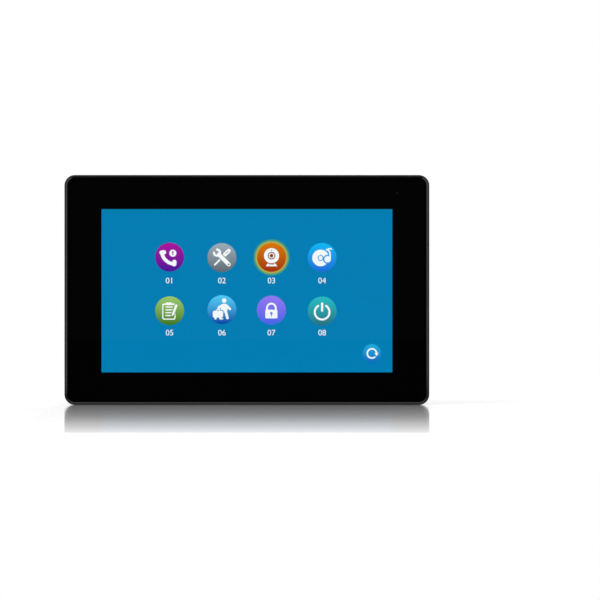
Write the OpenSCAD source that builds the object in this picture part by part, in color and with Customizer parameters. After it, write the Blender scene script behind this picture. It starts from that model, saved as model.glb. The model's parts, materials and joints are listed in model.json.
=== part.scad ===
// Wall-hung video intercom monitor: a touch glass over a wide 7 inch display in a two-part housing,
// hung on a steel wall bracket. Lengths are in millimetres.
// The pieces are drawn lying on their backs, with x to the right, y up and z from the wall to the viewer.
// hang() stands them up, so that the wall is the plane Y = 0 and the glass faces -Y.

/* [Display] */
// Width of the lit picture
view_w = 154.1; // [146:0.1:168]
// Height of the lit picture
view_h = 85.9; // [82:0.1:98]
// Border of the display module at its left and right
module_side = 5.4; // [4.8:0.1:5.8]
// Border of the display module at its top
module_top = 5.5; // [4.5:0.1:5.7]
// Border of the display module at its bottom, where its drivers sit
module_bottom = 8.6; // [7.8:0.1:9]
// Thickness of the display module's front and back sheets
sheet_t = 0.4; // [0.3:0.05:0.5]
// Thickness of the light guide
guide_t = 1.2; // [0.9:0.1:1.5]
// Thickness of the display's glass cell
cell_t = 1.2; // [0.9:0.1:1.4]

/* [Housing] */
// Border from the picture to the side of the housing
border_side = 19.2; // [19:0.1:26]
// Border from the picture to the top of the housing
border_top = 18.1; // [17.6:0.1:24]
// Border from the picture to the bottom of the housing
border_bottom = 17.3; // [16.8:0.1:24]
// Distance from the wall to the front of the glass
body_d = 19; // [18.6:0.1:25]
// Corner radius of the front frame
corner_r = 5.5; // [4.6:0.1:8]
// Thickness of the moulded walls
wall_t = 2; // [1.7:0.1:2.3]
// Depth of the front frame's side, from the parting line to the rim
frame_d = 6.4; // [5.8:0.1:7]
// Width of the rim that shows round the glass
rim_w = 0.8; // [0.7:0.05:1.2]
// How far the rear cover's sides draw in towards the wall
cover_taper = 3.25; // [2:0.25:3.75]
// Corner radius of the rear cover where it is widest
cover_r = 9; // [8:0.5:12]
// Rounding of the rear cover's back edge
back_fillet = 2.5; // [1.5:0.1:3]
// Gap between the rear cover and the wall
cover_gap = 0.5; // [0.3:0.1:0.8]

/* [Glass] */
// Thickness of the cover glass
glass_t = 1.1; // [0.9:0.1:1.3]
// Ground edge of the cover glass
glass_chamfer = 0.6; // [0.3:0.05:0.7]
// Thickness of the tape that holds the glass
tape_t = 0.3; // [0.2:0.05:0.4]
// Thickness of the touch sensor
sensor_t = 0.4; // [0.2:0.05:0.5]
// Thickness of the foam gasket between the display and the touch sensor
gasket_t = 0.5; // [0.3:0.05:0.8]

/* [Wall bracket] */
// Width of the bracket
bracket_w = 104; // [100:1:110]
// Height of the bracket
bracket_h = 72; // [70:1:76]
// Thickness of the bracket's sheet
bracket_t = 1.2; // [1:0.1:1.4]
// Diameter of the screw holes
hole_d = 4.5; // [3.6:0.1:5]
// Distance between the outer columns of screw holes
hole_pitch_x = 86; // [80:1:90]
// Distance between the rows of screw holes
hole_pitch_y = 60; // [56:0.5:62]
// Distance between the left and right hooks
hook_pitch = 85; // [82:1:88]
// Width of a hook
hook_w = 8; // [6:0.5:9]
// How far the monitor is lifted to come off the hooks
lift = 8; // [6:0.5:8.5]

/* [Wiring] */
// Number of sockets for door stations and further monitors
socket_count = 4; // [2:1:4]
// Number of pins in each of these sockets
wire_pins = 4; // [2:1:4]
// Number of pins in the power socket
power_pins = 2; // [2:1:3]
// Distance between neighbouring pins
pin_pitch = 2.5; // [2:0.1:2.54]
// Height of the sockets
socket_h = 7; // [6:0.1:7.2]
// Depth of the sockets, across the row
socket_d = 5.75; // [5:0.05:6]

/* [Circuit board] */
// Thickness of the circuit board
board_t = 1.6; // [1:0.1:1.8]
// Height of the circuit board
board_h = 84; // [80:1:88]
// Gap between the circuit board and the display
board_gap = 2; // [1.6:0.1:2.4]

/* [Speaker and microphone] */
// Diameter of the speaker
speaker_d = 32; // [28:1:33]
// Distance of the speaker's centre from the housing's side
speaker_side = 25.25; // [24.5:0.25:26]
// Height of the speaker's centre above the housing's bottom
speaker_up = 34.6; // [32:0.1:38]
// Distance of the microphone from the housing's side
mic_side = 17; // [16:0.1:18]
// Distance of the microphone from the housing's top
mic_down = 9.45; // [9:0.05:9.6]
// Diameter of the microphone's hole in the glass
mic_hole_d = 1.2; // [0.8:0.1:1.4]

/* [Side controls] */
// Height of the card slot above the housing's middle
card_y = 10; // [9.5:0.1:11]
// Height of the power switch above the housing's middle
switch_y = -4; // [-4.5:0.1:-3.5]
// Height of the reset pinhole above the housing's middle
reset_y = -13; // [-14:0.1:-12.6]
// Travel of the power switch
switch_travel = 2; // [1.5:0.1:2.4]

/* [Hidden] */
$fn = 64;

// Colours
gloss_black = [0.03, 0.03, 0.035];
soft_black = [0.07, 0.07, 0.075];
clear_glass = [0.55, 0.65, 0.7, 0.45];
steel = [0.72, 0.73, 0.74];
dark_steel = [0.35, 0.36, 0.38];
board_green = [0.05, 0.32, 0.17];
chip_black = [0.1, 0.1, 0.11];
ivory = [0.93, 0.91, 0.84];
film_white = [0.95, 0.96, 0.97];
amber = [0.75, 0.45, 0.12];
brass_gold = [0.83, 0.68, 0.3];
foam_grey = [0.2, 0.2, 0.2];
screen_blue = [0.0, 0.49, 0.69];

// Clearances: between moulded parts, round a pressed-in part and past a face that is cut away
fit = 0.15;
snug = 0.05;
over = 1;

// Heights above the wall, worked out from the glass towards the wall
glass_back = body_d - glass_t;
ledge_z = glass_back - tape_t;
ledge_under = ledge_z - wall_t;
rim_z = body_d - glass_chamfer;
part_z = rim_z - frame_d;
sensor_back = glass_back - sensor_t;
module_front = sensor_back - gasket_t;
film_t = 0.4;
reflector_t = 0.2;
cell_play = 0.1;
cell_back = module_front - sheet_t - cell_play - cell_t;
film_back = cell_back - film_t;
guide_back = film_back - guide_t;
tray_floor = guide_back - reflector_t;
module_back = tray_floor - sheet_t;
clip_t = 0.8;
clip_back = module_back - clip_t;
board_front = module_back - board_gap;
board_back = board_front - board_t;

// Heights above the wall, worked out from the wall outwards
bracket_clear = 0.4;
back_in = cover_gap + wall_t;
pocket_z = bracket_t + bracket_clear;
pocket_in = pocket_z + wall_t;
root_rise = 0.2;
floor_root = max(pocket_z, cover_gap) + root_rise;

// Outlines, seen from the front
body_w = view_w + 2 * border_side;
body_h = view_h + border_top + border_bottom;
view_y = (border_bottom - border_top) / 2;
module_w = view_w + 2 * module_side;
module_h = view_h + module_top + module_bottom;
module_y = view_y + (module_top - module_bottom) / 2;
module_low = module_y - module_h / 2;
module_clear = 0.5;
opening_w = module_w + 2 * module_clear;
opening_h = module_h + 2 * module_clear;
glass_fit = 0.1;
glass_inset = rim_w + glass_fit;
glass_w = body_w - 2 * glass_inset;
glass_h = body_h - 2 * glass_inset;
glass_r = corner_r - glass_inset;

// Front frame
rim_round = 0.4;
frame_bevel = 0.3;
boss_r = 3.2;
boss_gap = 0.8;
boss_down = 13.6;
screw_skin = 0.6;
boss_x = opening_w / 2 + boss_gap + boss_r;
boss_y = body_h / 2 - boss_down;
clip_y = 28;
clip_reach = 3;
clip_w = 10;
clip_r = 2;
rib_t = 1.2;
rib_y = 10;
tape_inset = 1;

// Rear cover
flange_inset = 1;
flange_t = 1.5;
cover_step = 0.5;
lip_t = 1;
lip_h = 1.4;
band_z = part_z - flange_t;
cover_w = body_w - 2 * (flange_inset + cover_step);
cover_h = body_h - 2 * (flange_inset + cover_step);
cover_slope = atan2(band_z - cover_gap, cover_taper);
column_r = 3.8;
seat_t = 2.5;
post_r = 3;

// Rows of cooling slots in the back of the rear cover
vent_right = 11;
vent_left = 11;
vent_low_left = 9;
vent_pitch = 5;
vent_w = 2;
vent_top_l = 8;
vent_top_down = 13;
vent_low_l = 5;
vent_low_up = 10.5;

// How far the rear cover's side has drawn in at height z
function drawn_in(z) = cover_taper * (band_z - z) / (band_z - cover_gap);

// Screws: radius of the thread, radius and height of the head
housing_screw = [1.3, 2.3, 1.8];
board_screw = [1.1, 2.1, 1.2];
clip_screw = [1, 2, 1.2];
speaker_screw = [1, 3.4, 1.2];
head_taper = 0.85;
cross_l = 1.1;
cross_w = 0.25;
head_clear = 0.3;
shank_clear = 0.25;
screw_bite = 4;
screw_end = 0.3;

// Bracket and its pocket in the rear cover
bracket_r = 4;
pocket_clear = 0.6;
pocket_r = 4.5;
hook_spare = 0.6;
hook_rise = lift - hook_spare;
hook_roots = [8, -22];
hook_bend = 0.3;
hook_gap = 0.35;
hook_foot = 2;
hook_slot_clear = 0.4;
lance_clear = 0.5;
lance_h = 12;
hook_z = pocket_in + hook_gap;
pocket_top = bracket_h / 2 + pocket_clear;
pocket_low = -bracket_h / 2 - lift - pocket_clear;

// Sockets in a row, and the bay that they stand in
socket_end = 4.9;
socket_gap = 1;
socket_wall = 0.8;
socket_floor = 1.2;
socket_y = 2.4;
pin_side = 0.64;
pin_tail = 1;
pin_low = 1;
pin_hole_r = 0.5;
pin_play = 0.02;
key_w = 1;
all_pins = concat([for (i = [1 : socket_count]) wire_pins], [power_pins]);
function socket_w(pins) = (pins - 1) * pin_pitch + socket_end;
function row_before(i) = i == 0 ? 0 : row_before(i - 1) + socket_w(all_pins[i - 1]) + socket_gap;
row_w = row_before(len(all_pins)) - socket_gap;
function socket_x(i) = row_before(i) + socket_w(all_pins[i]) / 2 - row_w / 2;
bay_side = 2;
bay_over = 0.75;
bay_under = 13.5;
bay_w = row_w + 2 * bay_side;
bay_top = socket_y + socket_d / 2 + bay_over;
bay_low = socket_y - socket_d / 2 - bay_under;
skirt_t = 1.2;
skirt_gap = 0.2;
window_side = 1.5;
window_end = 3;

// Speaker on its seat in the rear cover
relief_d = 1;
relief_side = 1.4;
relief_r = 3;
pad_side = 4;
seat_z = cover_gap + relief_d + wall_t;
speaker_foam_t = 0.5;
speaker_flange_t = 0.8;
speaker_basket_h = 2;
speaker_magnet_h = 2.2;
speaker_r = speaker_d / 2;
magnet_r = 8.5;
magnet_bevel = 0.4;
cone_r = 13.2;
surround_w = 1;
cone_t = 0.3;
cone_h = 1.6;
cap_r = 4;
basket_t = 0.5;
basket_top_r = 10.5;
basket_hole_r = 5;
speaker_x = speaker_side - body_w / 2;
speaker_y = speaker_up - body_h / 2;
speaker_flange_z = seat_z + speaker_foam_t;
speaker_basket_z = speaker_flange_z + speaker_flange_t;
speaker_magnet_z = speaker_basket_z + speaker_basket_h;
basket_h = speaker_flange_t + speaker_basket_h;
speaker_ring_t = 1.2;
speaker_ring_fit = 0.3;
speaker_boss_r = 2.4;
speaker_boss_gap = 2.6;
speaker_boss_out = speaker_r + speaker_boss_gap;
speaker_boss_angles = [135, 315];
grille_rings = 3;
grille_pitch = 3.2;
grille_hole_r = 0.9;
terminal_angle = 33;
terminal_in = 1.6;

// Circuit board, with a tab that carries the side controls
tab_gap = 0.8;
tab_low = -18;
tab_top = 20;
controls_h = 4;
tab_x = cover_w / 2 - wall_t - drawn_in(board_back - controls_h) - tab_gap;
board_speaker_gap = 2;
board_boss_gap = 5;
board_left = speaker_x + speaker_r + board_speaker_gap;
board_right = boss_x - board_boss_gap;
post_inset = 4;
board_posts = [
    [board_left + post_inset, board_h / 2 - post_inset],
    [board_left + post_inset, post_inset - board_h / 2],
    [board_right - post_inset, board_h / 2 - post_inset],
    [board_right - post_inset, post_inset - board_h / 2]
];

// Side controls on the tab
control_out = 0.3;
control_x = tab_x + control_out;
card_w = 12;
card_t = 1.1;
card_depth = 13;
card_shell = 0.3;
card_slot_clear = 0.3;
card_z = board_back - card_shell - card_t / 2;
switch_size = [4.2, 8.6, 3.6];
switch_wall = 0.6;
knob_w = 3;
knob_t = 1.6;
knob_foot = [2.2, 3.6, 2.2];
knob_proud = 0.7;
knob_clear = 0.5;
knob_groove = 0.4;
knob_groove_y = 0.6;
switch_z = board_back - switch_size[2] / 2;
reset_size = [3.6, 6, 3.5];
reset_wall = 0.6;
reset_travel = 0.25;
plunger_r = 0.8;
plunger_collar_r = 1.3;
plunger_collar_t = 0.6;
plunger_out = 0.9;
pinhole_r = 0.9;
reset_z = board_back - reset_size[2] / 2;

// Microphone behind the glass
mic_x = body_w / 2 - mic_side;
mic_y = body_h / 2 - mic_down;
mic_r = 2;
mic_h = 1.5;
boot_t = 0.4;
boot_skin = 0.3;
boot_foot = 0.3;
mic_skin = 0.6;
mic_holder_t = 0.9;
mic_holder_h = 1;
mic_mouth_w = 3.2;
mic_mouth_l = mic_y - module_y - opening_h / 2 + over;
boot_top = ledge_z - mic_skin;
mic_top = boot_top - boot_skin;

// Flat flexible cables from the display and the touch sensor down to the board
flex_t = 0.15;
flex_r = 1;
flex_drop = 1;
flex_out = 1.2;
flex_size = [24, 5, 1.6];
touch_plug_size = [9, 5, 1.6];
flex_up = 6;
flex_y = flex_up - board_h / 2;
lcd_flex_x = 8;
touch_flex_x = 50;
flex_side = 1;

// Backlight inside the display module
module_play = 0.1;
bezel_margin = 1;
cell_over = 2.8;
cell_under = 5.5;
cell_side = 2;
cell_top = view_y + view_h / 2 + cell_over;
cell_low = view_y - view_h / 2 - cell_under;
cell_w = module_w - 2 * cell_side;
cell_rest = 1.5;
tray_in_w = cell_w - 2 * cell_rest;
tray_in_top = cell_top - cell_rest;
tray_in_low = cell_low + cell_rest;
led_strip_t = 0.6;
led_t = 0.8;
led_w = 3.5;
led_count = 24;
film_play = 0.3;
guide_low = tray_in_low + led_strip_t + led_t + film_play;

// Chips and other parts on the back of the board: place and size. The upper and lower ones keep to its edges.
power_row_down = 13;
memory_row_down = 10;
processor_down = 26;
chips_down = [15, 9];
chips_up = [20, 16];
board_end = board_h / 2;
power_row = board_end - power_row_down;
memory_row = board_end - memory_row_down;
processor_at = [58, board_end - processor_down];
processor_size = [15, 15, 1.4];
memory_at = [[44, memory_row], [55, memory_row]];
memory_size = [9, 11, 1.1];
upper_chips = [[-42, board_end - chips_down[0]], [-30, board_end - chips_down[1]]];
middle_chips = [[42, -6], [52, -10], [62, -8]];
lower_chips = [[60, chips_up[0] - board_end], [70, chips_up[1] - board_end]];
chip_size = [5, 4, 1.5];
inductor_at = [[-18, power_row], [-7, power_row]];
inductor_size = [7, 7, 3.6];
inductor_r = 1;
inductor_groove = [2.3, 2.9, 0.4];
capacitor_count = 4;
capacitor_x = 4;
capacitor_pitch = 9;
capacitor_at = [for (i = [0 : capacitor_count - 1]) [capacitor_x + i * capacitor_pitch, power_row]];
capacitor_r = 3.15;
capacitor_h = 4.2;
capacitor_base = [6.7, 6.7, 0.8];
header_size = [4.5, 6, 4.5];
header_z = board_back - header_size[2];
speaker_header_in = 4;
speaker_header_y = -9;
mic_header_in = [13, 6];
speaker_header = [board_left + speaker_header_in, speaker_header_y];
mic_header = [board_right - mic_header_in[0], board_h / 2 - mic_header_in[1]];

// Twin leads: radius of one wire, distance between the two and the points that they follow
wire_r = 0.5;
wire_apart = 1.2;
wire_steps = 4;
wire_sides = 8;
lead_up = 2;
lead_z = header_z + lead_up;
speaker_terminal = [
    speaker_x + (speaker_r - terminal_in) * cos(terminal_angle),
    speaker_y + (speaker_r - terminal_in) * sin(terminal_angle)
];
terminal_size = [3, 3, 1.2];
speaker_route = [
    [speaker_terminal[0], speaker_terminal[1] + terminal_size[1] / 2, speaker_basket_z + 0.7],
    [speaker_terminal[0], speaker_terminal[1] + 3, speaker_basket_z + 0.7],
    [speaker_terminal[0] + 2, speaker_header[1] - 1.5, lead_z - 0.3],
    [speaker_header[0] - header_size[0] / 2 - 1.5, speaker_header[1], lead_z],
    [speaker_header[0] - header_size[0] / 2, speaker_header[1], lead_z]
];
mic_route = [
    [mic_x, mic_y, mic_top - mic_h],
    [mic_x, mic_y, mic_top - mic_h - 2],
    [mic_x - 2, mic_y - 3.2, board_back],
    [mic_header[0] + 3, board_h / 2 + 2, lead_z],
    [mic_header[0], mic_header[1] + header_size[1] / 2 + 2, lead_z],
    [mic_header[0], mic_header[1] + header_size[1] / 2, lead_z]
];

// Stands the drawn pieces up against the wall
module hang() {
    rotate([90, 0, 0]) children();
}

// Copies a piece to the left and right, and above and below
module four(x, y) {
    for (side = [-1, 1], end = [-1, 1]) translate([side * x, end * y, 0]) children();
}

// Points on an arc about a centre
function arc(centre, r, from, to, steps = 6) = [
    for (i = [0 : steps]) let (a = from + (to - from) * i / steps) centre + r * [cos(a), sin(a)]
];

// A flat plate about the middle, between two heights
module plate(w, h, z0, z1) {
    translate([-w / 2, -h / 2, z0]) cube([w, h, z1 - z0]);
}

// A block on the back of the board
module on_board(size) {
    translate([-size[0] / 2, -size[1] / 2, board_back - size[2]]) cube(size);
}

// A slab with round corners, whose edge has its profile from the corner's axis outwards as a child
module edged_slab(w, h, r, z0, z1) {
    plate(w - 2 * r, h - 2 * r, z0, z1);
    for (turn = [0 : 3]) rotate(90 * turn) {
        out = (turn % 2 == 0 ? w : h) / 2 - r;
        along = (turn % 2 == 0 ? h : w) / 2 - r;
        translate([out, along, 0]) rotate_extrude(angle = 90) children();
        translate([out, along, 0]) rotate([90, 0, 0]) linear_extrude(2 * along) children();
    }
}

// A slab with round corners and a straight edge
module slab(w, h, r, z0, z1) {
    edged_slab(w, h, r, z0, z1) translate([0, z0]) square([r, z1 - z0]);
}

// A slot with round ends that runs along y
module slot(w, l, z0, z1) {
    plate(w, l - w, z0, z1);
    for (end = [-1, 1]) translate([0, end * (l - w) / 2, z0]) cylinder(d = w, h = z1 - z0);
}

// A cross-head screw whose head hangs below z = 0 and whose shank stands up
module screw(sizes, shank) {
    tip = sizes[0];
    difference() {
        union() {
            cylinder(r = sizes[0], h = shank - tip);
            translate([0, 0, shank - tip]) cylinder(r1 = sizes[0], r2 = sizes[0] / 2, h = tip);
            translate([0, 0, -sizes[2]]) cylinder(r1 = sizes[1] * head_taper, r2 = sizes[1], h = sizes[2]);
        }
        for (turn = [0, 90]) rotate(turn)
            plate(sizes[1] * cross_l, sizes[1] * cross_w, -2 * sizes[2], -sizes[2] / 2);
    }
}

// A flat cable that leaves a piece at height z0, turns down outside it and runs back under the board
module flex_cable(w, y_start, y_out, y_end, z0, z1) {
    upper = [y_out + flex_r, z0 + flex_t - flex_r];
    lower = [y_out + flex_r, z1 + flex_r];
    rotate([90, 0, 90]) translate([0, 0, -w / 2]) linear_extrude(w) polygon(concat(
        [[y_start, z0], [y_start, z0 + flex_t]],
        arc(upper, flex_r, 90, 180),
        arc(lower, flex_r, 180, 270),
        [[y_end, z1], [y_end, z1 + flex_t]],
        arc(lower, flex_r - flex_t, 270, 180),
        arc(upper, flex_r - flex_t, 180, 90)
    ));
}

// A point between b and c on a smooth curve that also passes a and d
function between(a, b, c, d, t) = (2 * b + (c - a) * t + (2 * a - 5 * b + 4 * c - d) * t ^ 2
    + (3 * b - a - 3 * c + d) * t ^ 3) / 2;

// The points of a smooth curve through a route
function curve(route) = [
    for (i = [0 : len(route) - 2], s = [0 : wire_steps - 1]) between(
        route[max(i - 1, 0)], route[i], route[i + 1], route[min(i + 2, len(route) - 1)], s / wire_steps
    ),
    route[len(route) - 1]
];

function unit(v) = v / norm(v);

// The way ahead at one of a route's points, which is that of the end stretch at the two points of each end
function heading(route, i) = let (last = len(route) - 1)
    i <= 1 ? route[1] - route[0]
    : i >= last - 1 ? route[last] - route[last - 1]
    : route[i + 1] - route[i - 1];

// Two wires side by side along a route, apart in the direction square to it and to the given one
module twin_lead(route, square_to) {
    for (side = [-1, 1]) wire([for (i = [0 : len(route) - 1])
        route[i] + side * wire_apart / 2 * unit(cross(heading(route, i), square_to))
    ]);
}

// One wire along a route, as a tube with flat sides that are laid out from a direction askew to the route
module wire(route) {
    sides = wire_sides;
    askew = [1.3, 0.6, 1];
    path = curve(route);
    last = len(path) - 1;
    rings = [for (i = [0 : last])
        let (
            ahead = unit(i == 0 || i == last ? heading(route, i) : path[i + 1] - path[i - 1]),
            side = unit(cross(ahead, askew)),
            up = cross(side, ahead)
        )
        for (s = [0 : sides - 1]) let (turn = 360 * s / sides)
            path[i] + wire_r * (side * cos(turn) + up * sin(turn))
    ];
    walls = [for (i = [0 : last - 1], s = [0 : sides - 1])
        let (a = i * sides + s, b = i * sides + (s + 1) % sides)
        each [[a, b, b + sides], [a, b + sides, a + sides]]
    ];
    first_end = [for (s = [1 : sides - 2]) [0, s + 1, s]];
    far = last * sides;
    last_end = [for (s = [1 : sides - 2]) [far, far + s, far + s + 1]];
    polyhedron(points = rings, faces = concat(walls, first_end, last_end));
}

// Steel plate with four lanced hooks, a window for the wires and six screw holes
module wall_bracket() color(steel) hang() {
    difference() {
        slab(bracket_w, bracket_h, bracket_r, 0, bracket_t);
        wire_window();
        for (x = [-1 : 1], y = [-1, 1])
            translate([x * hole_pitch_x / 2, y * hole_pitch_y / 2, -over])
                cylinder(d = hole_d, h = bracket_t + 2 * over);
        for (side = [-1, 1], root = hook_roots)
            translate([side * hook_pitch / 2, root + bracket_t + lance_h / 2, 0])
                plate(hook_w + 2 * lance_clear, lance_h, -over, bracket_t + over);
    }
    for (side = [-1, 1], root = hook_roots) translate([side * hook_pitch / 2, root, 0]) hook();
}

module wire_window() {
    top = bay_top + window_end;
    low = bay_low - window_end;
    translate([0, (top + low) / 2, 0])
        slab(bay_w + 2 * window_side, top - low, bracket_r, -over, bracket_t + over);
}

// A strip bent forwards out of the plate and then up, drawn as its outline in y and z
module hook() {
    bend_out = hook_bend + bracket_t;
    root_bend = [bracket_t - bend_out, bend_out];
    tip_bend = [bracket_t + hook_bend, hook_z - hook_bend];
    tip = bracket_t + hook_rise;
    translate([-hook_w / 2, 0, 0]) rotate([90, 0, 90]) linear_extrude(hook_w) polygon(concat(
        [[-hook_foot, 0]],
        arc(root_bend, bend_out, 270, 360),
        arc(tip_bend, hook_bend, 180, 90),
        [[tip, hook_z], [tip, hook_z + bracket_t]],
        arc(tip_bend, bend_out, 90, 180),
        arc(root_bend, hook_bend, 360, 270),
        [[-hook_foot, bracket_t]]
    ));
}

// Moulded back with the bracket's pocket, the wiring bay, the speaker's seat and the board's posts
module rear_cover() color(soft_black) hang() difference() {
    union() {
        difference() {
            cover_outside();
            edged_slab(cover_w - 2 * wall_t, cover_h - 2 * wall_t, cover_r - wall_t, back_in, part_z + over)
                cover_hollow();
        }
        cover_lip();
        pocket_floor();
        bay_skirt();
        board_post_tubes();
        intersection() {
            cover_outside();
            union() {
                speaker_pad();
                four(boss_x, boss_y) translate([0, 0, floor_root])
                    cylinder(r = column_r, h = part_z - floor_root);
            }
        }
    }
    translate([0, (pocket_top + pocket_low) / 2, 0])
        slab(bracket_w + 2 * pocket_clear, pocket_top - pocket_low, pocket_r, -over, pocket_z);
    translate([0, (bay_top + bay_low) / 2, 0])
        plate(bay_w, bay_top - bay_low, -over, board_back);
    hook_slots();
    speaker_cuts();
    vent_slots();
    four(boss_x, boss_y) housing_screw_hole();
    for (at = board_posts) translate([at[0], at[1], board_back - screw_bite - over])
        cylinder(r = board_screw[0] + snug, h = screw_bite + 2 * over);
    side_slots();
}

module cover_outside() {
    slab(body_w - 2 * flange_inset, body_h - 2 * flange_inset, corner_r - flange_inset, band_z, part_z);
    edged_slab(cover_w, cover_h, cover_r, cover_gap, band_z) cover_edge();
}

module cover_edge() {
    round_x = cover_r - cover_taper - back_fillet * tan(cover_slope / 2);
    polygon(concat(
        [[0, cover_gap]],
        arc([round_x, cover_gap + back_fillet], back_fillet, 270, 270 + cover_slope),
        [[cover_r, band_z], [0, band_z]]
    ));
}

module cover_hollow() {
    r = cover_r - wall_t;
    top = part_z + over;
    polygon([[0, back_in], [r - drawn_in(back_in), back_in], [r, band_z], [r, top], [0, top]]);
}

module cover_lip() {
    inset = wall_t + fit;
    difference() {
        slab(body_w - 2 * inset, body_h - 2 * inset, corner_r - inset, part_z, part_z + lip_h);
        slab(
            body_w - 2 * (inset + lip_t), body_h - 2 * (inset + lip_t), corner_r - inset - lip_t,
            part_z - over, part_z + lip_h + over
        );
    }
}

module pocket_floor() {
    translate([0, (pocket_top + pocket_low) / 2, 0]) slab(
        bracket_w + 2 * (pocket_clear + wall_t), pocket_top - pocket_low + 2 * wall_t, pocket_r + wall_t,
        floor_root, pocket_in
    );
}

module bay_skirt() {
    translate([0, (bay_top + bay_low) / 2, 0])
        plate(bay_w + 2 * skirt_t, bay_top - bay_low + 2 * skirt_t, floor_root, board_back - skirt_gap);
}

module board_post_tubes() {
    for (at = board_posts) translate([at[0], at[1], floor_root])
        cylinder(r = post_r, h = board_back - floor_root);
}

module hook_slots() {
    for (side = [-1, 1], root = hook_roots) {
        top = root + bracket_t;
        low = root - lift - hook_slot_clear;
        translate([side * hook_pitch / 2, (top + low) / 2, 0])
            plate(hook_w + 2 * hook_slot_clear, top - low, -over, pocket_in + over);
    }
}

// Thickened floor, locating ring and screw bosses of the speaker
module speaker_pad() {
    side = speaker_r + pad_side;
    top = speaker_y + side;
    low = -body_h / 2;
    translate([speaker_x, (top + low) / 2, 0]) plate(2 * side, top - low, floor_root, seat_z);
    translate([speaker_x, speaker_y, floor_root]) {
        cylinder(r = speaker_r + speaker_ring_fit + speaker_ring_t, h = speaker_basket_z - floor_root);
        for (turn = speaker_boss_angles) rotate(turn) translate([speaker_boss_out, 0, 0])
            cylinder(r = speaker_boss_r, h = speaker_basket_z - floor_root);
    }
}

// Recess that the speaker lies in, the channel behind it that opens at the bottom edge, the grille's holes and
// the screws' pilot holes
module speaker_cuts() {
    side = grille_rings * grille_pitch + grille_hole_r + relief_side;
    top = speaker_y + side;
    low = -body_h / 2 - relief_r;
    translate([speaker_x, (top + low) / 2, 0])
        slab(2 * side, top - low, relief_r, -over, cover_gap + relief_d);
    translate([speaker_x, speaker_y, 0]) {
        translate([0, 0, seat_z]) cylinder(r = speaker_r + speaker_ring_fit, h = part_z);
        cylinder(r = grille_hole_r, h = seat_z + over);
        for (ring = [1 : grille_rings], i = [0 : 6 * ring - 1]) rotate(60 * i / ring)
            translate([ring * grille_pitch, 0, 0]) cylinder(r = grille_hole_r, h = seat_z + over);
        for (turn = speaker_boss_angles) rotate(turn)
            translate([speaker_boss_out, 0, floor_root + screw_skin])
                cylinder(r = speaker_screw[0] + snug, h = speaker_basket_z);
    }
}

// Rows of cooling slots above and below the pocket
module vent_slots() {
    for (i = [-vent_left : vent_right])
        translate([i * vent_pitch, body_h / 2 - vent_top_down, 0])
            slot(vent_w, vent_top_l, -over, back_in + over);
    for (i = [-vent_low_left : vent_right])
        translate([i * vent_pitch, vent_low_up - body_h / 2, 0])
            slot(vent_w, vent_low_l, -over, back_in + over);
}

module housing_screw_hole() {
    translate([0, 0, -over]) cylinder(r = housing_screw[1] + head_clear, h = part_z - seat_t + over);
    cylinder(r = housing_screw[0] + shank_clear, h = part_z + over);
}

// Openings in the right-hand wall for the memory card, the power switch and the reset pin
module side_slots() {
    reach = body_w / 2 - control_x + over;
    card = [reach, card_w + 2 * card_slot_clear, card_t + 2 * card_slot_clear];
    knob = [reach, knob_w + switch_travel + 2 * knob_clear, knob_t + 2 * knob_clear];
    translate([control_x, card_y - card[1] / 2, card_z - card[2] / 2]) cube(card);
    translate([control_x, switch_y - knob[1] / 2, switch_z - knob[2] / 2]) cube(knob);
    translate([control_x, reset_y, reset_z]) rotate([0, 90, 0]) cylinder(r = pinhole_r, h = reach);
}

module housing_screws() color(dark_steel) hang() {
    four(boss_x, boss_y) translate([0, 0, part_z - seat_t]) screw(housing_screw, seat_t + screw_bite);
}

// Moulded frame that holds the glass in front and the display behind
module front_frame() color(gloss_black) hang() difference() {
    union() {
        difference() {
            edged_slab(body_w, body_h, corner_r, part_z, rim_z) frame_edge();
            slab(
                glass_w + 2 * glass_fit, glass_h + 2 * glass_fit, glass_r + glass_fit, ledge_z, rim_z + over
            );
            slab(body_w - 2 * wall_t, body_h - 2 * wall_t, corner_r - wall_t, part_z - over, ledge_under);
        }
        four(boss_x, boss_y) translate([0, 0, part_z])
            cylinder(r = boss_r, h = ledge_under - part_z + snug);
        four(boss_x, clip_y) translate([0, 0, module_back])
            cylinder(r = boss_r, h = ledge_under - module_back + snug);
        translate([mic_x, mic_y, ledge_under - mic_holder_h])
            cylinder(r = mic_r + boot_t + snug + mic_holder_t, h = mic_holder_h + snug);
        frame_ribs();
    }
    translate([0, module_y, 0]) plate(opening_w, opening_h, part_z - over, ledge_z + over);
    four(boss_x, boss_y) translate([0, 0, part_z - over])
        cylinder(r = housing_screw[0] + snug, h = screw_bite + 2 * over);
    four(boss_x, clip_y) translate([0, 0, module_back - over])
        cylinder(r = clip_screw[0] + snug, h = ledge_z - screw_skin - module_back + over);
    mic_cuts();
    translate([touch_flex_x, module_low - module_clear, 0])
        plate(touch_plug_size[0] + 2 * flex_side, 2 * (flex_out + flex_side), part_z, ledge_z + over);
}

module frame_edge() {
    polygon(concat(
        [[0, part_z], [corner_r - frame_bevel, part_z], [corner_r, part_z + frame_bevel]],
        arc([corner_r - rim_round, rim_z - rim_round], rim_round, 0, 90, 4),
        [[0, rim_z]]
    ));
}

// Stiffening ribs under the ledge, beside the display and clear of the rear cover's lip
module frame_ribs() {
    x = opening_w / 2 + boss_gap;
    z = part_z + lip_h + fit;
    rib = [body_w / 2 - wall_t - x + snug, rib_t, ledge_under - z + snug];
    for (side = [0, 180], y = [-rib_y, rib_y]) rotate(side) translate([x, y - rib_t / 2, z]) cube(rib);
}

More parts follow.
